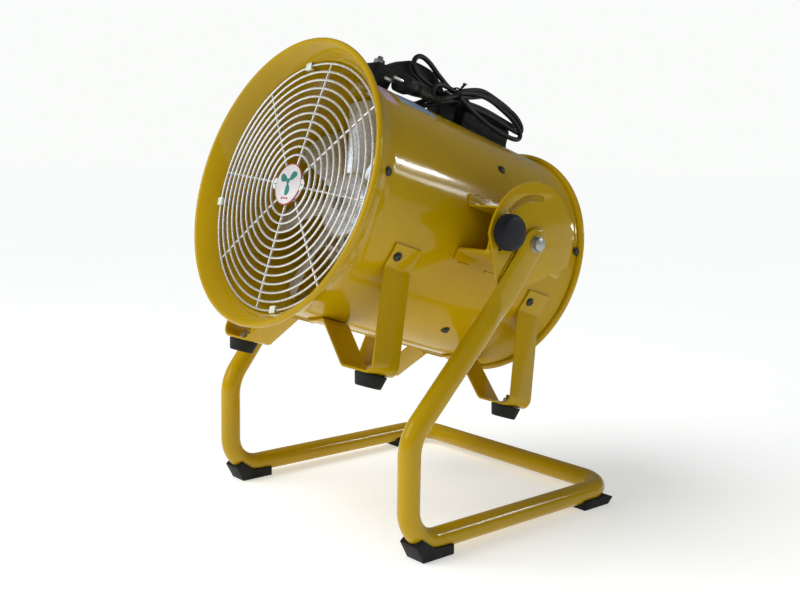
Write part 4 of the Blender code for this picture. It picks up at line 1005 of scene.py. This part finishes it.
def make_foot_brackets():
    """Bent strips under the drum, each with a cone-shaped rubber foot on a bolt."""
    seat = BODY_R + GAP + STRIP / 2
    bottom = -(STRIP_DEPTH - STRIP / 2)
    upper = [on_drum(seat, math.radians(a)) for a in (-17, -19, -21, -23, -25)]
    leave = on_drum(seat, math.radians(-28))
    inner_end = on_drum(seat + 0.0004, math.radians(-72))
    lower = [on_drum(seat + 0.0002, math.radians(a)) for a in (-75, -77, -79, -81, -83)]
    corners = [leave, Vector((STRIP_OUTER_X, bottom)), Vector((STRIP_INNER_X, bottom)), inner_end, lower[0]]
    bends = rounded([tuple(upper[-1])] + [tuple(c) for c in corners], [0.006, 0.012, 0.012, 0.006], steps=12)
    outline = strip_outline(upper[:-1] + bends + lower[1:], STRIP)
    cone = [(0.0, 0.0), (CONE_TOP_R - 0.0006, 0.0), (CONE_TOP_R, -0.0006), (CONE_TOP_R, -0.0022),
            (CONE_TOP_R - 0.0004, -0.0032), (CONE_BOTTOM_R + 0.0012, -CONE_HEIGHT + 0.0020),
            (CONE_BOTTOM_R + 0.0003, -CONE_HEIGHT + 0.0005), (CONE_BOTTOM_R - 0.0008, -CONE_HEIGHT),
            (0.0085, -CONE_HEIGHT), (0.0078, -CONE_HEIGHT + 0.0006), (0.0075, -CONE_HEIGHT + 0.0060),
            (0.0, -CONE_HEIGHT + 0.0060)]
    for end, front_edge in (("front", FRONT_STRIP_S), ("rear", REAR_STRIP_S)):
        middle = front_edge - STRIP_WIDTH / 2
        for side, hand in SIDES:
            points = [(side * x, y) for x, y in outline]
            place("foot_strip_" + end + "_" + hand, plate([points], STRIP_WIDTH, 0.0006), YELLOW, "drum",
                  DRUM @ at(0.0, middle, 0.0) @ ALONG, ["foot_bracket_" + end + "_" + hand])
            place("cone_foot_" + end + "_" + hand, lathe(cone, 64), RUBBER, "drum",
                  DRUM @ at(side * CONE_X, middle, -STRIP_DEPTH - GAP), ["rubber_foot_" + end + "_" + hand])
            nut = stud_end(0.0100, 0.0050, 0.0085, 0.003, 0.0050)
            place("foot_nut_" + end + "_" + hand, nut, ZINC, "drum",
                  DRUM @ at(side * CONE_X, middle, -STRIP_DEPTH + STRIP))
            angle = -22.5 if side > 0 else 180 + 22.5
            place("strip_screw_" + end + "_" + hand, screw_with_washer(), SCREW, "drum",
                  on_wall(BODY_R + STRIP + GAP, angle, middle + 0.011))


def stud_end(across, height, washer_r, thread_r, proud):
    """A nut on a washer with the end of its stud standing out of it, up from z = 0."""
    nut = hex_head(across, height, washer_r, 0.0012)
    end = thread(thread_r, proud, 0.0010)
    end.transform(Matrix.Translation((0.0, 0.0, height * 1.04 + 0.0012)))
    return joined([(nut, IDENTITY), (end, IDENTITY)])


# ---- Guards and badge ----------------------------------------------------------------------------

def ring_points(radius, height, count):
    return [(radius * math.cos(2 * math.pi * i / count), radius * math.sin(2 * math.pi * i / count), height)
            for i in range(count)]


def wire_guard(outer, inner, rings, dome):
    """Concentric rings of wire welded in front of straight spokes, with a small fillet at each weld."""
    sink = WIRE_R * 1.5

    def height(radius):
        return dome * (1 - (radius / outer) ** 2)

    parts = [(lathe([(0.0, height(0.0) - sink + WIRE_R), (inner * 0.58, height(0.0) - sink + WIRE_R),
                     (inner * 0.60, height(0.0) - sink), (inner * 0.58, height(0.0) - sink - WIRE_R),
                     (0.0, height(0.0) - sink - WIRE_R)], 64), IDENTITY)]
    radii = [inner * 0.55 + (outer - inner * 0.55) * k / 10 for k in range(11)]
    spot = tube([(-0.0017, 0.0, 0.0), (-0.0008, 0.0, 0.0), (0.0008, 0.0, 0.0), (0.0017, 0.0, 0.0)], 1.0, 8,
                radii=[0.0006, 0.0015, 0.0015, 0.0006])
    for i in range(SPOKES):
        angle = SPOKE_ANGLE + 2 * math.pi * i / SPOKES
        points = [(r * math.cos(angle), r * math.sin(angle), height(r) - sink) for r in radii]
        parts.append((tube(points, WIRE_R, 12), IDENTITY))
        for k in range(rings):
            radius = inner + (outer - inner) * k / (rings - 1)
            parts.append((spot, Matrix.Rotation(angle, 4, "Z")
                          @ Matrix.Translation((radius, 0.0, height(radius) - sink / 2))))
    for k in range(rings):
        radius = inner + (outer - inner) * k / (rings - 1)
        parts.append((tube(ring_points(radius, height(radius), max(48, round(radius * 1100))), WIRE_R, 12,
                           cyclic=True), IDENTITY))
    return joined(parts)


def petal(turn):
    """One blade of the plain fan mark on the badge."""
    points = []
    for k in range(15):
        t = k / 14
        points.append((0.0024 + 0.0126 * t, 0.0010 + 0.0052 * math.sin(math.pi * t * 0.86)))
    for k in range(14, -1, -1):
        t = k / 14
        points.append((0.0024 + 0.0126 * t, -0.0006 + 0.0002 * k / 14 - 0.0012 * math.sin(math.pi * t)))
    return [tuple(Matrix.Rotation(turn, 2) @ Vector(p)) for p in points]


def make_guards():
    grille = wire_guard(GRILLE_R, GRILLE_INNER_R, GRILLE_RINGS, GRILLE_DOME)
    place("front_grille_wires", grille, WIRE, "drum", DRUM @ at(0.0, GRILLE_S, 0.0) @ ALONG, ["front_grille"])
    guard = wire_guard(GUARD_R, GUARD_INNER_R, GUARD_RINGS, 0.0)
    place("rear_guard_wires", guard, WIRE, "drum", DRUM @ at(0.0, GUARD_S, 0.0) @ ALONG, ["rear_guard"])
    low = GRILLE_R - 0.0050
    high = flare(GRILLE_S) - WALL - 0.0011
    front = WIRE_R + GAP
    for i in range(4):
        turn = Matrix.Rotation(CLIP_ANGLE + 2 * math.pi * i / 4, 4, "Z")
        tab = block((low, -0.0055, front), (high, 0.0055, front + 0.0016), 0.0005)
        lip = block((low - 0.0004, -0.0055, front - 0.0028), (low + 0.0010, 0.0055, front + 0.0014), 0.0004)
        place("grille_tab_" + str(i + 1), joined([(tab, IDENTITY), (lip, IDENTITY)]), CLIP, "drum",
              DRUM @ at(0.0, GRILLE_S, 0.0) @ ALONG @ turn, ["grille_clip_" + str(i + 1)])


def make_badge():
    """A round enamel disc with a red edge and a plain fan mark, on two pierced ears."""
    back = GRILLE_S + GRILLE_DOME + WIRE_R + GAP
    disc = lathe([(0.0, 0.0022), (0.012, 0.0021), (BADGE_R - 0.0022, 0.0016), (BADGE_R - 0.0010, 0.0012),
                  (BADGE_R - 0.0003, 0.0006), (BADGE_R, 0.0), (0.0, 0.0)], 96)
    base = DRUM @ at(0.0, back, 0.0) @ ALONG
    place("badge_disc", disc, ENAMEL, "drum", base, ["badge"])
    rim = lathe([(BADGE_R - 0.0011, 0.0015), (BADGE_R - 0.0003, 0.0013), (BADGE_R + 0.0002, 0.0008),
                 (BADGE_R + 0.0002, 0.0000), (BADGE_R - 0.0011, 0.0000)], 96, closed=True)
    place("badge_rim", rim, RED, "drum", base)
    grow = Matrix.Diagonal((1.22, 1.22, 1.0, 1.0))
    blades = [(plate([petal(2 * math.pi * k / 3 + 0.5)], 0.0004, 0.00008, 1),
               Matrix.Translation((0.0, 0.0036, 0.0022)) @ grow)
              for k in range(3)]
    hub = lathe([(0.0, 0.0003), (0.0026, 0.0002), (0.0028, 0.0), (0.0, 0.0)], 32)
    blades.append((hub, Matrix.Translation((0.0, 0.0036, 0.0023)) @ grow))
    place("badge_mark", joined(blades), TEAL, "drum", base)
    bars = []
    for left, right in ((-0.0071 + 0.0052 * k, -0.0034 + 0.0052 * k) for k in range(3)):
        bars.append((block((left, -0.0196, 0.00160), (right, -0.0172, 0.00205), 0.0001, 1), IDENTITY))
    place("badge_bars", joined(bars), RED, "drum", base)
    ears = []
    for side in (1, -1):
        outline = [(side * x, y) for x, y in [(0.0240, -0.0075), (0.0300, -0.0070), (0.0335, -0.0030),
                                              (0.0335, 0.0030), (0.0300, 0.0070), (0.0240, 0.0075)]]
        hole = [(side * 0.0295 + x, y) for x, y in arc((0.0, 0.0), 0.0016, 0.0, math.radians(345), 23)]
        ears.append((plate([outline, hole], 0.0012, 0.0003), Matrix.Translation((0.0, 0.0, 0.0006))))
    place("badge_ears", joined(ears), CLIP, "drum", base)


# ---- Motor and impeller --------------------------------------------------------------------------

def make_motor():
    """Motor shell and end shields; the wound and turned pieces inside keep their CAD solids."""
    half = MOTOR_HALF_LENGTH
    shell = [(MOTOR_INNER_R, -half), (MOTOR_R - 0.0006, -half), (MOTOR_R, -half + 0.0006),
             (MOTOR_R, half - 0.0006), (MOTOR_R - 0.0006, half), (MOTOR_INNER_R, half)]
    place("motor_shell", lathe(shell, 96, closed=True), MOTOR, "drum", DRUM @ ALONG, ["motor_housing"])
    face = half + GAP
    boss = face + 0.015
    lip = SHAFT_R + 0.0012
    shield = [(0.0190, boss), (0.0202, boss - 0.0003), (0.0220, boss - 0.0022), (0.0232, face + 0.0100),
              (0.0245, face + 0.0084), (0.0260, face + 0.0080), (0.0530, face + 0.0080),
              (0.0556, face + 0.0076), (0.0576, face + 0.0062), (MOTOR_R, face + 0.0044), (MOTOR_R, face),
              (0.0163, face),
              (0.0163, face + 0.0103), (lip, face + 0.0103), (lip, boss - 0.0006), (lip + 0.0006, boss)]
    ribs = []
    for k in range(8):
        rib = block((0.0225, -0.0014, face + 0.0070), (0.0535, 0.0014, face + 0.0096), 0.0008)
        ribs.append((rib, Matrix.Rotation(math.radians(22.5 + 45 * k), 4, "Z")))
    for k in range(4):
        turn = Matrix.Rotation(math.radians(45 + 90 * k), 4, "Z")
        ribs.append((hex_head(0.0070, 0.0035, 0.0052, 0.0008),
                     turn @ Matrix.Translation((0.0480, 0.0, face + 0.0080))))
    for end, turn in (("front", ALONG), ("rear", BACKWARDS)):
        cast = joined([(lathe(shield, 96, closed=True), IDENTITY)] + ribs)
        place("end_shield_cast_" + end, cast, CAST, "drum", DRUM @ turn, ["motor_end_shield_" + end])


def make_motor_mount():
    """A clamp band round the motor with four sheet arms to the drum's wall."""
    low = -0.028
    high = 0.022
    inner = 0.0583
    outer = 0.0613
    band = lathe([(inner, low), (outer - 0.0004, low), (outer, low + 0.0004), (outer, high - 0.0004),
                  (outer - 0.0004, high), (inner, high)], 96, closed=True)
    reach = INNER_R - GAP
    parts = [(band, IDENTITY)]
    seat = [on_drum(reach - 0.0015, math.radians(a)) for a in (-0.55, 1.2, 3, 4.5, 6)]
    outline = strip_outline([Vector((inner + 0.001, 0.0)), Vector((reach - 0.0055, 0.0)),
                             seat[0] + Vector((-0.0006, 0.0022))] + seat[1:], 0.003)
    for i in range(4):
        turn = Matrix.Rotation(math.radians(38 + 90 * i), 4, "Z")
        parts.append((plate([outline], 0.046, 0.0005), turn @ Matrix.Translation((0.0, 0.0, MOUNT_S))))
        fillet = [(outer + 0.0008, 0.0022, -0.020 + 0.005 * k) for k in range(8)]
        parts.append((weld_bead(fillet, 0.0015, i), turn))
    # The cradle wears the darker copy of the yellow, which paints the shade inside the drum.
    place("motor_cradle", joined(parts), SHADED_INNER_YELLOW, "drum", DRUM @ ALONG, ["motor_mount"])


def blade_sheet():
    """One twisted, cambered blade along local X with the axis along Z, thin at its edges."""
    radial = 20
    across = 16
    sides = ([], [])
    for i in range(radial + 1):
        t = i / radial
        radius = HUB_R - 0.0025 + (BLADE_TIP_R - HUB_R + 0.0025) * t
        stagger = math.radians(52 - 25 * t)
        chord = 0.046 + 0.024 * t
        for face, rows in enumerate(sides):
            row = []
            for j in range(across + 1):
                u = j / across - 0.5
                camber = 0.0075 * (1 - 4 * u * u)
                thick = 0.0013 * math.sqrt(max(1 - (2 * u) ** 4, 0.0)) + 0.0002
                thick *= 1 if face else -1
                lifted = camber + thick
                swing = chord * u * math.cos(stagger) - lifted * math.sin(stagger)
                lift = chord * u * math.sin(stagger) + lifted * math.cos(stagger)
                angle = swing / radius + 0.14 * t
                row.append((radius * math.cos(angle), radius * math.sin(angle), lift))
            rows.append(row)
    shape = bmesh.new()
    grids = [[[shape.verts.new(p) for p in row] for row in rows] for rows in sides]
    for grid in grids:
        for i in range(radial):
            for j in range(across):
                shape.faces.new((grid[i][j], grid[i + 1][j], grid[i + 1][j + 1], grid[i][j + 1]))
    low, high = grids
    for i in range(radial):
        for j in (0, across):
            shape.faces.new((low[i][j], low[i + 1][j], high[i + 1][j], high[i][j]))
    for j in range(across):
        for i in (0, radial):
            shape.faces.new((low[i][j], low[i][j + 1], high[i][j + 1], high[i][j]))
    return finished(shape, "blade")


def make_impeller():
    rear = HUB_REAR_S
    front = HUB_REAR_S + HUB_LENGTH
    rim = front - 0.006
    hub = [(SHAFT_R + 0.010, front - 0.002), (HUB_R - 0.012, front - 0.0022), (HUB_R - 0.008, front - 0.003),
           (HUB_R - 0.004, front - 0.0046), (HUB_R - 0.0015, rim), (HUB_R - 0.0004, rim - 0.002),
           (HUB_R, rim - 0.004), (HUB_R, rear), (HUB_R - 0.004, rear), (HUB_R - 0.005, rim - 0.004),
           (SHAFT_R + 0.009, rim - 0.004), (SHAFT_R + 0.008, rear + 0.010), (SHAFT_R + GAP, rear + 0.010),
           (SHAFT_R + GAP, front - GAP), (SHAFT_R + 0.008, front - GAP)]
    parts = [(lathe(hub, 96, closed=True), IDENTITY)]
    blade = blade_sheet()
    for i in range(BLADES):
        parts.append((blade, Matrix.Rotation(2 * math.pi * i / BLADES, 4, "Z")
                      @ Matrix.Translation((0.0, 0.0, (rear + rim) / 2))))
    place("impeller_cast", joined(parts), CAST, "impeller", DRUM @ ALONG, ["impeller"])
    nut = hex_head(0.0166, 0.0080)
    end = thread(0.0050, 0.0065)
    end.transform(Matrix.Translation((0.0, 0.0, 0.0083)))
    place("impeller_lock_nut", joined([(nut, IDENTITY), (end, IDENTITY)]), ZINC, "impeller",
          DRUM @ at(0.0, front + GAP, 0.0) @ ALONG, ["impeller_nut"])


# ---- Handle and terminal box ---------------------------------------------------------------------

def eased(loop, keep=()):
    """A closed outline with its corners cut three times over, except the ones to keep."""
    points = [(Vector(p), i in keep) for i, p in enumerate(loop)]
    for _ in range(3):
        cut = []
        for i, (point, kept) in enumerate(points):
            before = points[i - 1][0]
            after = points[(i + 1) % len(points)][0]
            if kept:
                cut.append((point, True))
                continue
            cut += [(point.lerp(before, 0.22), False), (point.lerp(after, 0.22), False)]
        points = cut
    return [tuple(p) for p, _ in points]


def handle_outline():
    foot = BODY_R + GAP
    half = HANDLE_HALF_LENGTH
    outer = [(half, foot), (half, HANDLE_LAND - 0.006), (half - 0.005, HANDLE_LAND),
             (half - 0.026, HANDLE_LAND), (half - 0.040, HANDLE_LAND + 0.012),
             (half * 0.28, HANDLE_TOP - 0.0015)]
    inner = [(half * 0.25, HANDLE_UNDERSIDE - 0.001), (half * 0.42, HANDLE_UNDERSIDE - 0.006),
             (half * 0.58, HANDLE_UNDERSIDE - 0.019), (half * 0.62, foot)]
    rear_side = [(-s, up) for s, up in reversed(outer)]
    underside = [(-s, up) for s, up in reversed(inner)] + [(0.0, HANDLE_UNDERSIDE)] + inner
    loop = outer + [(0.0, HANDLE_TOP)] + rear_side + underside
    count = len(outer)
    first_foot = 2 * count
    keep = {0, first_foot, first_foot + 1, len(loop) - 1}
    return eased(loop, keep)


def make_handle():
    outline = [(-(HANDLE_MID_S + s), up) for s, up in handle_outline()]
    grip = plate([outline], HANDLE_WIDTH, 0.0034, 5)
    place("handle_moulded", grip, GRIP, "drum", DRUM @ SIDE_VIEW, ["handle"])
    for end, name in ((1, "front"), (-1, "rear")):
        s = HANDLE_MID_S + end * HANDLE_BOLT_S
        top = stud_end(0.0130, 0.0046, 0.0078, 0.0040, 0.0042)
        shank = lathe([(0.004, 0.0), (0.004, -0.0350), (0.0, -0.0350), (0.0, 0.0)], 24)
        inside = hex_head(0.0130, 0.0046, 0.0085, 0.0012)
        inside.transform(Matrix.Translation((0.0, 0.0, -0.0370)) @ Matrix.Rotation(math.pi, 4, "X"))
        parts = joined([(top, IDENTITY), (shank, IDENTITY), (inside, IDENTITY)])
        place("handle_stud_" + name, parts, ZINC, "drum", DRUM @ at(0.0, s, HANDLE_LAND + GAP),
              ["handle_bolt_" + name])


def make_terminal_box():
    """The box cut to the drum, its lid, the lid's four screws and the cable gland."""
    low = in_drum(-BOX_HALF_WIDTH, BOX_FRONT_S, BODY_R - 0.012)
    high = in_drum(BOX_HALF_WIDTH, BOX_REAR_S, BOX_RIM)
    wall = block([min(a, b) for a, b in zip(low, high)], [max(a, b) for a, b in zip(low, high)], 0.0026, 5)
    drum = lathe([(0.0, -0.2), (BODY_R + GAP, -0.2), (BODY_R + GAP, 0.2), (0.0, 0.2)], 160)
    box = carved(wall, drum, ALONG)
    place("terminal_box_moulded", box, BOX, "drum", DRUM, ["terminal_box"])
    lid_low = (-BOX_HALF_WIDTH - 0.0006, -BOX_FRONT_S - 0.0006, BOX_RIM + GAP)
    lid_high = (BOX_HALF_WIDTH + 0.0006, -BOX_REAR_S + 0.0006, LID_TOP)
    lid = block(lid_low, lid_high, 0.0026, 5)
    place("terminal_box_cover", lid, BOX, "drum", DRUM, ["terminal_box_lid"])
    inset = 0.007
    corners = [(x, s) for s in (BOX_FRONT_S - inset, BOX_REAR_S + inset) for x in (1, -1)]
    for i, (x, s) in enumerate(corners):
        place("lid_screw_" + str(i + 1), pan_head(0.0040, 0.0024), ZINC, "drum",
              DRUM @ at(x * (BOX_HALF_WIDTH - inset), s, LID_TOP - 0.0002))
    nut = plate([hexagon(GLAND_R)], 0.0045, 0.0004)
    nut.transform(Matrix.Translation((0.0, 0.0, 0.00225)))
    dome = lathe([(0.0, GLAND_LENGTH), (GLAND_R * 0.50, GLAND_LENGTH),
                  (GLAND_R * 0.60, GLAND_LENGTH - 0.0006), (GLAND_R * 0.76, GLAND_LENGTH - 0.0030),
                  (GLAND_R * 0.82, GLAND_LENGTH - 0.0055), (GLAND_R * 0.82, 0.0046),
                  (GLAND_R * 0.70, 0.0040), (0.0, 0.0040)], 40)
    place("gland_turned", joined([(nut, IDENTITY), (dome, IDENTITY)]), BOX, "drum",
          DRUM @ at(GLAND_X, BOX_REAR_S - GAP, GLAND_UP) @ BACKWARDS, ["cable_gland"])


def make_label(name, look, start, end, low, high):
    """A plain film stuck on the drum between two stations and two angles."""
    shape = bmesh.new()
    along = 12
    around = 24
    rows = []
    for i in range(along + 1):
        s = start + (end - start) * i / along
        row = []
        for j in range(around + 1):
            angle = math.radians(low + (high - low) * j / around)
            row.append(shape.verts.new((*on_drum(BODY_R + 0.0003, angle), s)))
        rows.append(row)
    for first, second in zip(rows, rows[1:]):
        for j in range(around):
            shape.faces.new((first[j], first[j + 1], second[j + 1], second[j]))
    made = bmesh.ops.extrude_face_region(shape, geom=shape.faces[:])
    for vertex in (v for v in made["geom"] if isinstance(v, bmesh.types.BMVert)):
        vertex.co.xy = vertex.co.xy.normalized() * (BODY_R + 0.00005)
    place(name, finished(shape, name), look, "drum", DRUM @ ALONG)


# ---- Pivots and knobs ----------------------------------------------------------------------------

def make_pivots():
    """A bolt and lock nut at each side, through the leg, the sector plate and the bracket."""
    face = LOBE_X + LOBE_THICKNESS / 2 + GAP
    inside = BRACKET_X - BRACKET_SHEET
    for side, hand in SIDES:
        turn = Matrix.Rotation(math.radians(90 * side), 4, "Y")
        head = hex_head(0.0165, 0.0056, 0.0108, 0.0014)
        tip = inside - face - 0.011
        shank = lathe([(0.005, 0.0), (0.005, tip), (0.0, tip), (0.0, 0.0)], 32)
        place("pivot_screw_" + hand, joined([(head, IDENTITY), (shank, IDENTITY)]), ZINC, "stand",
              STAND @ Matrix.Translation((side * face, 0.0, PIVOT_Z)) @ turn, ["pivot_bolt_" + hand])
        back = Matrix.Rotation(math.radians(-90 * side), 4, "Y")
        place("pivot_lock_nut_" + hand, hex_head(0.0165, 0.0070, 0.0105, 0.0012), ZINC, "stand",
              STAND @ Matrix.Translation((side * (inside - GAP), 0.0, PIVOT_Z)) @ back, ["pivot_nut_" + hand])


def ribbed_knob():
    """The clamp knob: a domed cap on a grip with fine ribs along it, standing on its boss."""
    back = KNOB_BOSS
    top = KNOB_BOSS + KNOB_DEPTH
    cap = [(0.0, top), (0.30, top - 0.0002), (0.50, top - 0.0006), (0.70, top - 0.0013), (0.82, top - 0.0020),
           (0.885, top - 0.0027), (0.915, top - 0.0034), (0.925, top - 0.0041), (0.920, top - 0.0046),
           (0.945, top - 0.0050)]
    grip = [(0.965, top - 0.0053), (0.985, top - 0.0060), (1.0, top - 0.0080), (1.0, back + 0.0030),
            (0.992, back + 0.0016), (0.97, back + 0.0005), (0.93, back)]
    boss = KNOB_BOSS_R / KNOB_R
    tail = [(boss + 0.02, back), (boss, back - 0.0006), (boss, 0.0003), (boss - 0.02, 0.0), (0.0, 0.0)]
    ribs = 44
    rib_depth = 0.034           # as a share of the radius
    steps = 8 * ribs
    shape = bmesh.new()
    rings = []
    for share, height in cap + grip + tail:
        ribbed = (share, height) in grip[1:-1]
        if share == 0.0:
            rings.append([shape.verts.new((0.0, 0.0, height))])
            continue
        ring = []
        for i in range(steps):
            angle = 2 * math.pi * i / steps
            dip = rib_depth * (0.5 - 0.5 * math.cos(ribs * angle)) if ribbed else 0.0
            radius = KNOB_R * share * (1 - dip)
            ring.append(shape.verts.new((radius * math.cos(angle), radius * math.sin(angle), height)))
        rings.append(ring)
    for first, second in zip(rings, rings[1:]):
        join_rings(shape, first, second, steps)
    return finished(shape, "knob")


def make_knobs():
    """The clamp knobs, with the studs that they turn on."""
    plate_face = BRACKET_X + GAP + PLATE_THICKNESS
    inside = BRACKET_X - BRACKET_SHEET
    for side, hand in SIDES:
        turn = Matrix.Rotation(math.radians(90 * side), 4, "Y")
        place("knob_moulded_" + hand, ribbed_knob(), KNOB, "clamp_knob_" + hand,
              DRUM @ at(side * (plate_face + GAP), SLOT_R, 0.0) @ turn, ["clamp_knob_" + hand])
        back = Matrix.Rotation(math.radians(-90 * side), 4, "Y")
        head = hex_head(0.0130, 0.0043, 0.0085, 0.0012)
        tip = inside - plate_face - 0.004
        shank = lathe([(0.0, 0.0), (0.004, 0.0), (0.004, tip), (0.0, tip)], 24)
        place("clamp_screw_" + hand, joined([(head, IDENTITY), (shank, IDENTITY)]), ZINC, "drum",
              DRUM @ at(side * (inside - GAP), SLOT_R, 0.0) @ back, ["clamp_stud_" + hand])


# ---- CAD solids left showing -----------------------------------------------------------------------

def dress(look, *names):
    """Gives CAD nodes that stay in view their material."""
    for name in names:
        shade(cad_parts[name].data, look)


# ---- Stage and light -------------------------------------------------------------------------------

def make_stage():
    floor = bpy.data.meshes.new("floor")
    reach = 30.0
    corners = [(-reach, -reach, 0.0), (reach, -reach, 0.0), (reach, reach, 0.0), (-reach, reach, 0.0)]
    floor.from_pydata(corners, [], [(0, 1, 2, 3)])
    look = Look("floor_paper", "white_enamel")
    tone = look.ramp(look.noise(2.0, 2.0), [(0.3, (0.86, 0.875, 0.865)), (0.7, (0.88, 0.895, 0.885))])
    look.colour(tone)
    look.set(Roughness=0.9, Emission_Color=(0.99, 1.0, 0.99, 1.0), Emission_Strength=0.43)
    look.shader.inputs["Specular IOR Level"].default_value = 0.0
    floor.materials.append(look.material)
    obj = bpy.data.objects.new("floor", floor)
    bpy.context.scene.collection.objects.link(obj)


def make_world():
    """A dim pale world for the object; the camera sees it bright."""
    world = bpy.data.worlds.new("studio")
    bpy.context.scene.world = world
    world.use_nodes = True
    tree = world.node_tree
    tree.nodes["Background"].inputs["Color"].default_value = (0.94, 0.97, 1.0, 1.0)
    tree.nodes["Background"].inputs["Strength"].default_value = 0.22
    seen = tree.nodes.new("ShaderNodeBackground")
    seen.inputs["Color"].default_value = (0.985, 1.0, 0.985, 1.0)
    seen.inputs["Strength"].default_value = 0.97
    rays = tree.nodes.new("ShaderNodeLightPath")
    blend = tree.nodes.new("ShaderNodeMixShader")
    tree.links.new(rays.outputs["Is Camera Ray"], blend.inputs["Fac"])
    tree.links.new(tree.nodes["Background"].outputs["Background"], blend.inputs[1])
    tree.links.new(seen.outputs["Background"], blend.inputs[2])
    tree.links.new(blend.outputs["Shader"], tree.nodes["World Output"].inputs["Surface"])


def add_light(name, kind, place_at, aim, energy, colour, diffuse=True, glossy=True, **settings):
    """A lamp aimed at a point; diffuse and glossy say which kinds of reflection show it."""
    data = bpy.data.lights.new(name, kind)
    data.energy = energy
    data.color = colour
    for key, value in settings.items():
        setattr(data, key, value)
    obj = bpy.data.objects.new(name, data)
    bpy.context.scene.collection.objects.link(obj)
    obj.location = place_at
    obj.rotation_euler = (Vector(aim) - Vector(place_at)).to_track_quat("-Z", "Y").to_euler()
    obj.visible_diffuse = diffuse
    obj.visible_glossy = glossy


def make_lights():
    """Soft light all round, and two panes that show only as streaks on the drum."""
    centre = (0.0, 0.0, 0.35)
    add_light("sky_panel", "SUN", (-0.9, -1.5, 2.6), centre, 1.55, (1.0, 0.99, 0.97), glossy=False,
              angle=math.radians(40))
    for name, spot, power, tall in (("window_upper", (1.352, 1.632, 1.290), 6.5, 0.075),
                                    ("window_lower", (1.375, 1.645, 1.030), 1.7, 0.09)):
        add_light(name, "AREA", spot, (0.15, -0.03, 0.46), power, (0.97, 0.99, 1.0), diffuse=False,
                  shape="RECTANGLE", size=0.40, size_y=tall)
    add_light("front_panel", "AREA", (-0.7, -1.9, 1.2), (0.0, -0.2, 0.42), 10.0, (0.95, 0.98, 1.0),
              shape="RECTANGLE", size=1.3, size_y=1.0)
    add_light("camera_side_panel", "AREA", (2.0, -0.9, 1.9), centre, 5.0, (1.0, 0.99, 0.97), glossy=False,
              shape="RECTANGLE", size=1.0, size_y=0.8)


make_cord()
make_stand()
make_sector_plates()
make_stand_feet()
make_shell()
make_drum_screws()
make_side_brackets()
make_foot_brackets()
make_guards()
make_badge()
make_motor()
make_motor_mount()
make_impeller()
make_handle()
make_terminal_box()
make_label("label_blue", BLUE_FILM, 0.092, 0.156, 57.0, 80.0)
make_label("label_pink", PINK_FILM, 0.172, 0.192, 50.5, 76.0)
make_pivots()
make_knobs()
dress(ZINC, "motor_shaft", "bearing_front", "bearing_rear")
dress(STEEL, "stator_core", "rotor_core")
dress(ENAMEL, "capacitor")
make_stage()
make_world()
make_lights()
bpy.context.scene.view_settings.view_transform = "Standard"
